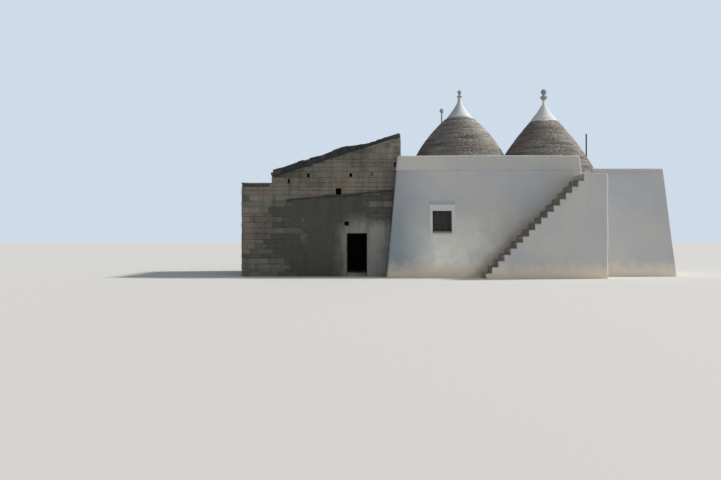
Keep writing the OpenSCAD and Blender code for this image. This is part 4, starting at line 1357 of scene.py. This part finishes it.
def plasterRemains():
    # what is left of the plaster round the doorway: its thickness is a broad swelling less
    # the distance from the doorway, broken up by chance numbers
    f, step, most, rim = barn["front"], remains["step"], remains["thick"], remains["rim"]
    x, z = spread(remains["left"], remains["right"], step)[:, None], spread(0, remains["top"], step)
    away = np.hypot(np.maximum(np.abs(x - remains["middle"]) - remains["half"], 0),
                    np.maximum(z - remains["full"], 0))
    spot = grid(x, 0, z)
    worn = 0.016 * pattern(spot, 0.6, 51) + 0.011 * pattern(spot, 0.2, 52)
    worn += 0.006 * pattern(spot, 0.07, 53)
    thick = most + remains["swell"] * np.exp(-(away / 0.7) ** 2)
    thick += worn - 0.012 * np.maximum(away - 1.2, 0)
    thick -= 0.07 * bareShare(x, z)
    pale = 0.95 - 1.15 * away + 9 * (0.6 * worn + 0.006 * pattern(spot, 0.3, 54))
    pale = asShare(pale - 0.5 * (thick < -0.004))
    middle = (thick[1:, 1:] + thick[:-1, 1:] + thick[1:, :-1] + thick[:-1, :-1]) / 4
    xm, zm = (x[1:] + x[:-1]) / 2, (z[1:] + z[:-1]) / 2
    keep = (middle > -0.01) & (xm < house["batter"] * zm - 0.01) & (zm < dripTop(xm) - 0.1)
    for a, b, c, d in [doorHole] + ventHoles:
        keep &= ~((xm > a - rim) & (xm < b + rim) & (zm > c - rim) & (zm < d + rim))
    outer = grid(x, f - np.clip(thick, -most, most), z)
    skin = sheetSolid(outer, grid(x, f + 0.035, z), keep, tone=pale)
    makePiece("barnPlasterRemains", skin, oldRender, (), 50)


roof = {"row": 0.30, "lap": 0.13, "width": (0.30, 0.62), "thick": (0.028, 0.045), "bed": 0.085,
        "edge": 0.009, "verge": 0.36, "vergeStone": 0.34, "vergeTall": 0.075,
        "swell": 0.075, "swellAt": 3.3, "secondEnd": 4.1}


def roofSlabs(f, b, length, bed):
    # thin slabs lapped like scales up the slope: each lies on the one below with its lower
    # edge raised by that slab's thickness
    rows = []
    for s in np.arange(0, length - 0.1, roof["row"]):
        edges = chanceWidths(f + 0.05, b - 0.05, roof["width"], 0.2)
        rows.append(grid(s, min(s + roof["row"] + roof["lap"], length), *between(edges, 0.004),
                         chance.uniform(*roof["thick"], len(edges) - 1)))
    s0, s1, v0, v1, thick = np.concatenate(rows).T
    slabs = cornersOf(s0, s1, v0, v1, 0, 1)
    lift, onTop = np.where(np.arange(8) < 4, 0.055, 0.004), np.tile([0, 1], 4)
    slabs[..., 2] = bed + lift + onTop * thick[:, None]
    slabs = shaken(slabs, [0.016, 0.006, 0.004])
    slabs[..., 0] = np.clip(slabs[..., 0], 0, length)
    return slabs


def roofVerge(f, b, length, bed):
    # flat near-black slabs bedded end to end along the verge; their tops wander by a broad wave
    # and rise in one low swell, and a second layer lies on the lower stretch
    s = jointsAlong(0.01, length - 0.01, roof["vergeStone"], 0.1)
    verge, count, onTop = [], len(s) - 1, np.tile([0, 1], 4)
    for edge, inner in ((f, f + roof["verge"]), (b - roof["verge"], b)):
        stones = cornersOf(*between(s, 0.002), edge + 0.012 + chance.uniform(0, 0.03, count),
                           inner, 0.012, bed + roof["vergeTall"])
        along = stones[..., 0]
        swell = 0.012 * np.sin(along * 3.1 + edge) + 0.03 / (1 + np.exp((along - 3.4) / 0.12))
        swell += roof["swell"] * np.exp(-((along - roof["swellAt"]) / 0.7) ** 2)
        stones[..., 2] += onTop * (swell + 0.008 * chance.uniform(-1, 1, count)[:, None])
        second = stones[along[:, 4] < roof["secondEnd"]] + [0.12, 0.015, 0]
        fade = np.clip((4.2 - second[..., 0]) / 1.2, 0.1, 1)
        raised = chance.uniform(0.05, 0.1, len(second))[:, None]
        second[..., 2] += np.where(onTop, raised, roof["thick"][1]) * fade
        verge += [shaken(stones, [0.001, 0.006, 0.006]), shaken(second, [0.01, 0.008, 0.008])]
    return np.concatenate(verge)


def barnRoof():
    # a bed on the roof's underside, and the slabs and the verge laid out over its slope
    f, b = low("barn_roof_slabs")[1], high("barn_roof_slabs")[1]
    bearing, slope = barn["bearing"], math.atan(barn["slope"])
    cos, sin = math.cos(slope), math.sin(slope)
    x, y = spread(bearing, barn["right"], 0.5)[:, None], spread(f + 0.34, b - 0.34, 0.5)
    bed = sheetSolid(grid(x, y, underRoof(x) + roof["bed"]), grid(x, y, underRoof(x)))
    makePiece("barnRoofBed", bed, barnMortar, ["barn_roof_slabs"])

    def place(p):
        # from the length up the slope and the height off it to upright places
        along, y, over = np.moveaxis(p, -1, 0)
        return grid(bearing + along * cos - over * sin, y, underRoof(bearing) + along * sin + over * cos)

    size = f, b, (barn["right"] - bearing) / cos, roof["bed"] * cos
    slabs, verge = roofSlabs(*size), roofVerge(*size)
    for name, box, tones, finish in (("Slabs", slabs, (0.15, 0.9), roofStone),
                                     ("Verge", verge, (0, 1), vergeStone)):
        tone = chance.uniform(*tones, len(box))
        makePiece("barnRoof" + name, blocks(box, roof["edge"], tone, plainBlock, place), finish)


barnCores()
barnWalls()
barnShelf()
barnTrim()
plasterRemains()
barnRoof()
print("barn made")


# Stair

def treadWear(x0, y0, deep, wide=0.9):
    # feet hollow the middle of each tread, most at its front edge: the dip is a squared sine
    # across the stair and falls off along the going
    def bend(p):
        across = asShare((p[..., 1] - y0) / wide)
        along = asShare((p[..., 0] - x0) / deep)
        return p - grid(0, 0, 0.016 * np.sin(math.pi * across) ** 2 * (1.1 - along))
    return bend


def stairSteps():
    # each step is a plastered body under a thin stone tread that stands out a little
    st, treads, bodies = stairPlace, [], []
    for k in range(st["count"]):
        x0, z1 = st["x"] + k * st["going"], (k + 1) * st["riser"]
        x1, y1 = x0 + st["going"], house["front"] + house["batter"] * z1 + 0.05
        under = z1 - st["riser"] - st["seat"] - 0.02 if k else 0.0
        bodies.append(roughStone([x0 + 0.006, st["front"] + 0.012, under],
                                 [x1 + 0.02, y1, z1 - st["tread"] + 0.008], 0.08, 0.014, 0.01,
                                 60 + k, chance.uniform(0.55, 1)))
        treads.append(roughStone([x0 - 0.006, st["front"] + 0.002, z1 - st["tread"]],
                                 [x1 + 0.01, y1, z1], 0.075, 0.012, 0.01, 80 + k,
                                 chance.uniform(0, 0.5), treadWear(x0, st["front"], st["going"])))
    makePiece("stairSteps", bodies, treadStone, ["stair_steps"], 45,
              second=(facadePlaster, lambda n: n[:, 1] < -0.75))
    makePiece("stairTreads", treads, treadStone, (), 45)


def stairPlaster():
    # one plastered skin over the sloping masonry and the landing, round to its right end
    st, r = stairPlace, 0.08
    front, end, right, landing = st["front"], st["end"], *high("stair_landing")[[0, 2]]
    foot = st["x"] + st["seat"] / st["slope"]
    track = [(x, front, 0, -1) for a, b in ((foot + 0.02, end - 0.002), (end + 0.002, right - r))
             for x in spread(a, b, 0.14)]
    track += [(right - r + r * math.sin(t), front + r - r * math.cos(t), math.sin(t), -math.cos(t))
              for t in np.linspace(0, math.pi / 2, 6)[1:]]
    track += [(right, y, 1, 0) for y in spread(front + 2 * r, house["front"] + 0.12, 0.14)]
    x, y, outX, outY = np.array(track).T[:, :, None]
    topZ = np.where(x < end, (x - st["x"]) * st["slope"] - st["seat"], landing)
    arris = np.where(x < end, 0.0, 0.035)
    z = np.concatenate([np.linspace(0, 1, 28) * (topZ - arris),
                        topZ - arris * (1 - np.sin(arrisUp))], 1)
    outer = grid(x, y, z)
    give = wander(outer, (walls["wave"], 0.9, 71), (walls["ripple"], 0.25, 72))
    give[:, 28:] += arris * (1 - np.cos(arrisUp))
    outer -= grid(outX * give, outY * give, 0)
    inner = grid(np.minimum(x, right - 0.3), house["front"] + 0.25 + house["batter"] * z, z)
    makePiece("stairPlaster", sheetSolid(outer, inner), facadePlaster,
              ["stair_masonry", "stair_landing"], 40, weld=True)
    edges = np.array([end + 0.03, end + 0.36, end + 0.7, right - 0.04])
    slabs = shaken(cornersOf(*between(edges, 0.004), front + 0.04, house["front"] + 0.45,
                             landing - 0.04, landing + 0.012), [0.004, 0.01, 0.003])
    makePiece("landingPaving", blocks(slabs, 0.01, [0.3, 0.6, 0.45], fineBlock), pavingStone)


stairSteps()
stairPlaster()
print("stair made")


# Windows and rear door

window = {
    "bandSide": frontWindow["left"] - low("window_bands")[0],
    "bandTop": high("window_bands")[2] - frontWindow["head"], "sill": 0.07, "ledge": 0.06,
    "ledgeZ": low("window_drip_ledges")[2], "glassY": low("window_glass")[1] + 0.003,
    "bar": 0.03, "stile": 0.055, "rod": 0.007, "rods": 9, "crossBars": 5, "rebate": 0.06,
}


def turnedAbout(s, middleX):
    # half a turn about the upright line midway between the two windows
    return dict(s, points=s["points"] * [-1, -1, 1] + [middleX, 0, 0])


def windowBand():
    # a rounded raised band round the opening: at each place on its way round, the profile
    # runs from the inner rectangle to the outer one and stands out from the leaning wall
    w, look = frontWindow, window
    inner = (w["left"], w["right"], w["sill"] - look["sill"], w["head"])
    outer = (w["left"] - look["bandSide"], w["right"] + look["bandSide"],
             w["sill"] - look["bandSide"], w["head"] + look["bandTop"])
    rounds = [np.array([(r[i], r[j]) for i, j in ((0, 2), (1, 2), (1, 3), (0, 3), (0, 2))])
              for r in (inner, outer)]
    share = np.arange(8)[:, None] / 8
    path = np.stack([(r[:-1, None] + share * np.diff(r, axis=0)[:, None]).reshape(-1, 2)
                     for r in rounds], 1)
    profile = np.array([(0, -0.05), (0, 0.008), (0.04, 0.019), (0.12, 0.024), (0.5, 0.025),
                        (0.88, 0.024), (0.96, 0.019), (1, 0.008), (1, -0.05), (0.5, -0.05)])
    flat = path[:, :1] + (path[:, 1:] - path[:, :1]) * profile[:, 0][None, :, None]
    x, z = np.moveaxis(flat, -1, 0)
    proud = profile[:, 1] - wander(grid(x, 0, z), (0.003, 0.2, 81))
    return loft(grid(x, house["front"] + house["batter"] * z - proud, z), closed=True)


def casement():
    # two leaves side by side, each of two stiles, two rails and two glazing bars
    w, wide, inset = frontWindow, window["stile"], window["rebate"]
    left, right, z0, z1 = w["left"] + inset, w["right"] - inset, w["sill"] + inset, w["head"] - inset
    box = []
    for a, b in ((left, (left + right) / 2), ((left + right) / 2, right)):
        box += [(a, a + wide, z0, z1), (b - wide, b, z0, z1)]
        box += [(a + wide, b - wide, z, z + wide) for z in (z0, z1 - wide)]
        box += [(a + wide, b - wide, z, z + window["bar"]) for z in np.linspace(z0, z1, 4)[1:-1]]
    x0, x1, z0, z1 = np.array(box).T
    y = window["glassY"]
    return blocks(cornersOf(x0, x1, y - 0.028, y + 0.006, z0, z1), 0.004)


def windows():
    # all pieces of the front window, and the same turned half round for the rear one
    w, look = frontWindow, window
    b, f = house["batter"], house["front"]
    left, right, sillZ, head = w["left"], w["right"], w["sill"], w["head"]
    faceY, z, side = f + b * sillZ, look["ledgeZ"], look["bandSide"]

    def leaned(p):
        # y + batter * height above the sill
        return p + grid(0, b * (p[..., 2] - sillZ), 0)

    sill = roughStone([left + 0.002, faceY - look["ledge"] + 0.004, sillZ - look["sill"]],
                      [right - 0.002, faceY + 0.32, sillZ + 0.006], 0.06, 0.012, 0.008, 85, 1.0, leaned)
    ledge = roughStone([left - side, f + b * z - look["ledge"], z],
                       [right + side, f + b * z + 0.03, z + 0.04], 0.06, 0.012, 0.007, 86)
    y, end = faceY + 0.14, 0.02
    bars = [roundBar([x, y, sillZ - end], [x, y, head + end], look["rod"])
            for x in np.linspace(left, right, look["rods"] + 2)[1:-1]]
    bars += [blocks(cornersOf(left - end, right + end, y - 0.012, y + 0.012, at - 0.004, at + 0.004), 0.001)
             for at in np.linspace(sillZ, head, look["crossBars"] + 2)[1:-1]]
    sets = (("Sills", [sill], lintelStone, ["window_sills"], 40),
            ("Drips", [ledge], facadePlaster, ["window_drip_ledges"], 40),
            ("Bands", [windowBand()], bandPlaster, ["window_bands"], 40),
            ("Casements", [casement()], darkTimber, (), None), ("Grilles", bars, dullIron, (), 40))
    for name, shapes, finish, stands, angle in sets:
        whole = gather(shapes)
        both = [whole, turnedAbout(whole, left + rearWindow["right"])]
        makePiece("window" + name, both, finish, stands, angle)


def rearDoorPiece():
    # upright planks with eased edges, strap hinges with tapering ends, a ring pull on a plate
    lowest, highest = low("rear_door"), high("rear_door")
    edges = np.linspace(lowest[0], highest[0], 6)
    box = cornersOf(*between(edges, 0.002), lowest[1] + 0.004, highest[1] - 0.002,
                    lowest[2] + 0.006, highest[2] - 0.004)
    planks = blocks(shaken(box, [0.001, 0.002, 0.003]), 0.006, template=fineBlock)
    makePiece("rearDoorPlanks", planks, oldTimber, ["rear_door"])
    hinge, y = highest[:2]
    iron, s = [], np.linspace(0, 1, 12)
    for z in (lowest[2] + 0.3, highest[2] - 0.32):
        half, x = 0.022 - 0.012 * s, hinge - 0.01 - 0.62 * s
        iron.append(loft(np.stack([grid(x, y + d, z + k * half) for k, d in (
            (-1, -0.004), (-1, 0.004), (1, 0.004), (1, -0.004))], 1)))
        iron.append(roundBar([hinge + 0.004, y, z - 0.05], [hinge + 0.004, y, z + 0.05], 0.011))
        iron += [roundBar([at, y - 0.004, z], [at, y + 0.009, z], 0.008)
                 for at in np.linspace(hinge - 0.08, hinge - 0.5, 4)]
    x, z = lowest[0] + 0.09, lowest[2] + 1.02
    iron.append(blocks(cornersOf(x - 0.03, x + 0.03, y - 0.003, y + 0.004, z - 0.09, z + 0.09), 0.002))
    turn = around(28)[:, None]
    tube = around(8)
    reach = 0.042 + 0.006 * np.cos(tube)
    iron.append(loft(grid(x + reach * np.sin(turn), y + 0.012 + 0.006 * np.sin(tube),
                          z - 0.02 + reach * np.cos(turn)), closed=True))
    makePiece("rearDoorIron", iron, dullIron, (), 40)
    lintel = roughStone(low("rear_door_lintel"), high("rear_door_lintel"), 0.07, 0.022, 0.01, 91, 0.6)
    makePiece("rearDoorLintel", lintel, pavingStone, ["rear_door_lintel"], 40)


windows()
rearDoorPiece()
print("windows and rear door made")


# Pipes

def standingPipe(node, radius, collars, openTop):
    # a flange, the pipe and its collars as one turned profile
    x, y = (low(node) + high(node))[:2] / 2
    bottom, top, flange = low(node)[2], high(node)[2], 0.08
    profile = [(flange - 0.003, 0), (flange, 0.003), (flange, 0.009), (flange - 0.006, 0.012),
               (radius + 0.012, 0.014), (radius + 0.004, 0.022), (radius, 0.04)]
    for z in collars:
        profile += [(radius, z - 0.04), (radius + 0.006, z - 0.035), (radius + 0.006, z + 0.03),
                    (radius, z + 0.036)]
    profile = [(r, bottom + z) for r, z in profile] + [(radius, top - 0.004), (radius - 0.004, top)]
    if openTop:
        profile += [(radius - 0.007, top - 0.002), (radius - 0.007, top - 0.2), (0.002, top - 0.2)]
    return turned(profile, x, y, 24)


def pipes():
    # the flue and the vent, each one turned profile, and the cowl on the flue
    flue = standingPipe("flue_pipe", 0.04, (1.0, 2.2), False)
    makePiece("fluePipe", flue, zincSheet, ["flue_pipe"], 35)
    vent = standingPipe("vent_pipe", 0.035, [1.2 + low("flue_pipe")[2] - low("vent_pipe")[2]], True)
    makePiece("ventPipe", vent, dullIron, ["vent_pipe"], 35)
    # the cowl: a collar round the pipe, an upright band and a domed lid
    lowest, highest = low("flue_cowl"), high("flue_cowl")
    x, y = (lowest + highest)[:2] / 2
    r, z, tall = (highest[0] - lowest[0]) / 2, lowest[2], highest[2] - lowest[2]
    profile = [(0.038, 0), (r - 0.012, 0.002), (r - 0.003, 0.008), (r, 0.016), (r - 0.004, 0.024),
               (r - 0.01, 0.03), (r - 0.01, 0.55 * tall), (r - 0.002, 0.57 * tall), (r, 0.6 * tall),
               (r - 0.004, 0.63 * tall), (r * 0.72, 0.78 * tall), (r * 0.4, 0.93 * tall),
               (r * 0.28, 0.985 * tall), (r * 0.1, tall)]
    cowl = turned([(radius, z + rise) for radius, rise in profile], x, y, 32)
    makePiece("flueCowl", cowl, zincSheet, ["flue_cowl"], 35)


pipes()
print("pipes made")


# Camera, light and ground

def newObject(name, data):
    made = bpy.data.objects.new(name, data)
    bpy.context.scene.collection.objects.link(made)
    return made


view = {"eye": (-1.10, -33.15, 1.57), "focus": 707 / 721 * 36}
camera = newObject("camera", bpy.data.cameras.new("camera"))
camera.data.sensor_width = 36
camera.data.lens = view["focus"]
camera.location = np.array(view["eye"]) + siteShift
camera.rotation_euler = (math.pi / 2, 0, 0)
camera.data.clip_end = 2000
bpy.context.scene.camera = camera

# the sun stands to the right, just behind the front wall's plane, and a wide soft light
# comes from the bright clouds in front; turns count from the right towards the back
lamps = {
    "sun": {"strength": 3.7, "soft": 6.0, "turn": 11.0, "elevation": 37.0,
            "colour": (1.0, 0.97, 0.92)},
    "clouds": {"strength": 0.66, "soft": 80.0, "turn": -55.0, "elevation": 22.0,
               "colour": (1.0, 0.99, 0.96)},
}
for name, look in lamps.items():
    lamp = newObject(name, bpy.data.lights.new(name, "SUN"))
    lamp.data.energy = look["strength"]
    lamp.data.angle = math.radians(look["soft"])
    lamp.data.color = look["colour"]
    lamp.rotation_euler = (0, math.radians(90 - look["elevation"]), math.radians(look["turn"]))

light = {"sky": (0.84, 0.91, 1.0), "skyStrength": 0.23, "shownSky": (0.62, 0.71, 0.81)}
world = bpy.data.worlds.new("sky")
bpy.context.scene.world = world
world.use_nodes = True
now["tree"] = world.node_tree
now["tree"].nodes.clear()
ray = addNode("LightPath").outputs
seen = mathOf("MAXIMUM", mathOf("MAXIMUM", ray["Is Camera Ray"], ray["Is Glossy Ray"]),
              ray["Is Transmission Ray"])
lit = addNode("Background", {"Color": light["sky"], "Strength": light["skyStrength"]})
shown = addNode("Background", {"Color": light["shownSky"], "Strength": 1.0})
mixed = addNode("MixShader", {0: seen, 1: lit.outputs[0], 2: shown.outputs[0]})
addNode("OutputWorld", {"Surface": mixed.outputs[0]})

ground = {"reach": 400.0, "colour": (0.66, 0.65, 0.63)}
reach = ground["reach"]
floorMesh = bpy.data.meshes.new("ground")
floorMesh.from_pydata([(-reach, -reach, 0), (reach, -reach, 0), (reach, reach, 0),
                       (-reach, reach, 0)], [], [(0, 1, 2, 3)])
floor = newObject("ground", floorMesh)
paper = bpy.data.materials.new("groundPaper")
paper.use_nodes = True
paperLook = paper.node_tree.nodes["Principled BSDF"].inputs
paperLook["Base Color"].default_value = (*ground["colour"], 1)
paperLook["Roughness"].default_value = 0.95
floorMesh.materials.append(paper)
bpy.context.scene.view_settings.view_transform = "Standard"
print("camera, light and ground made")
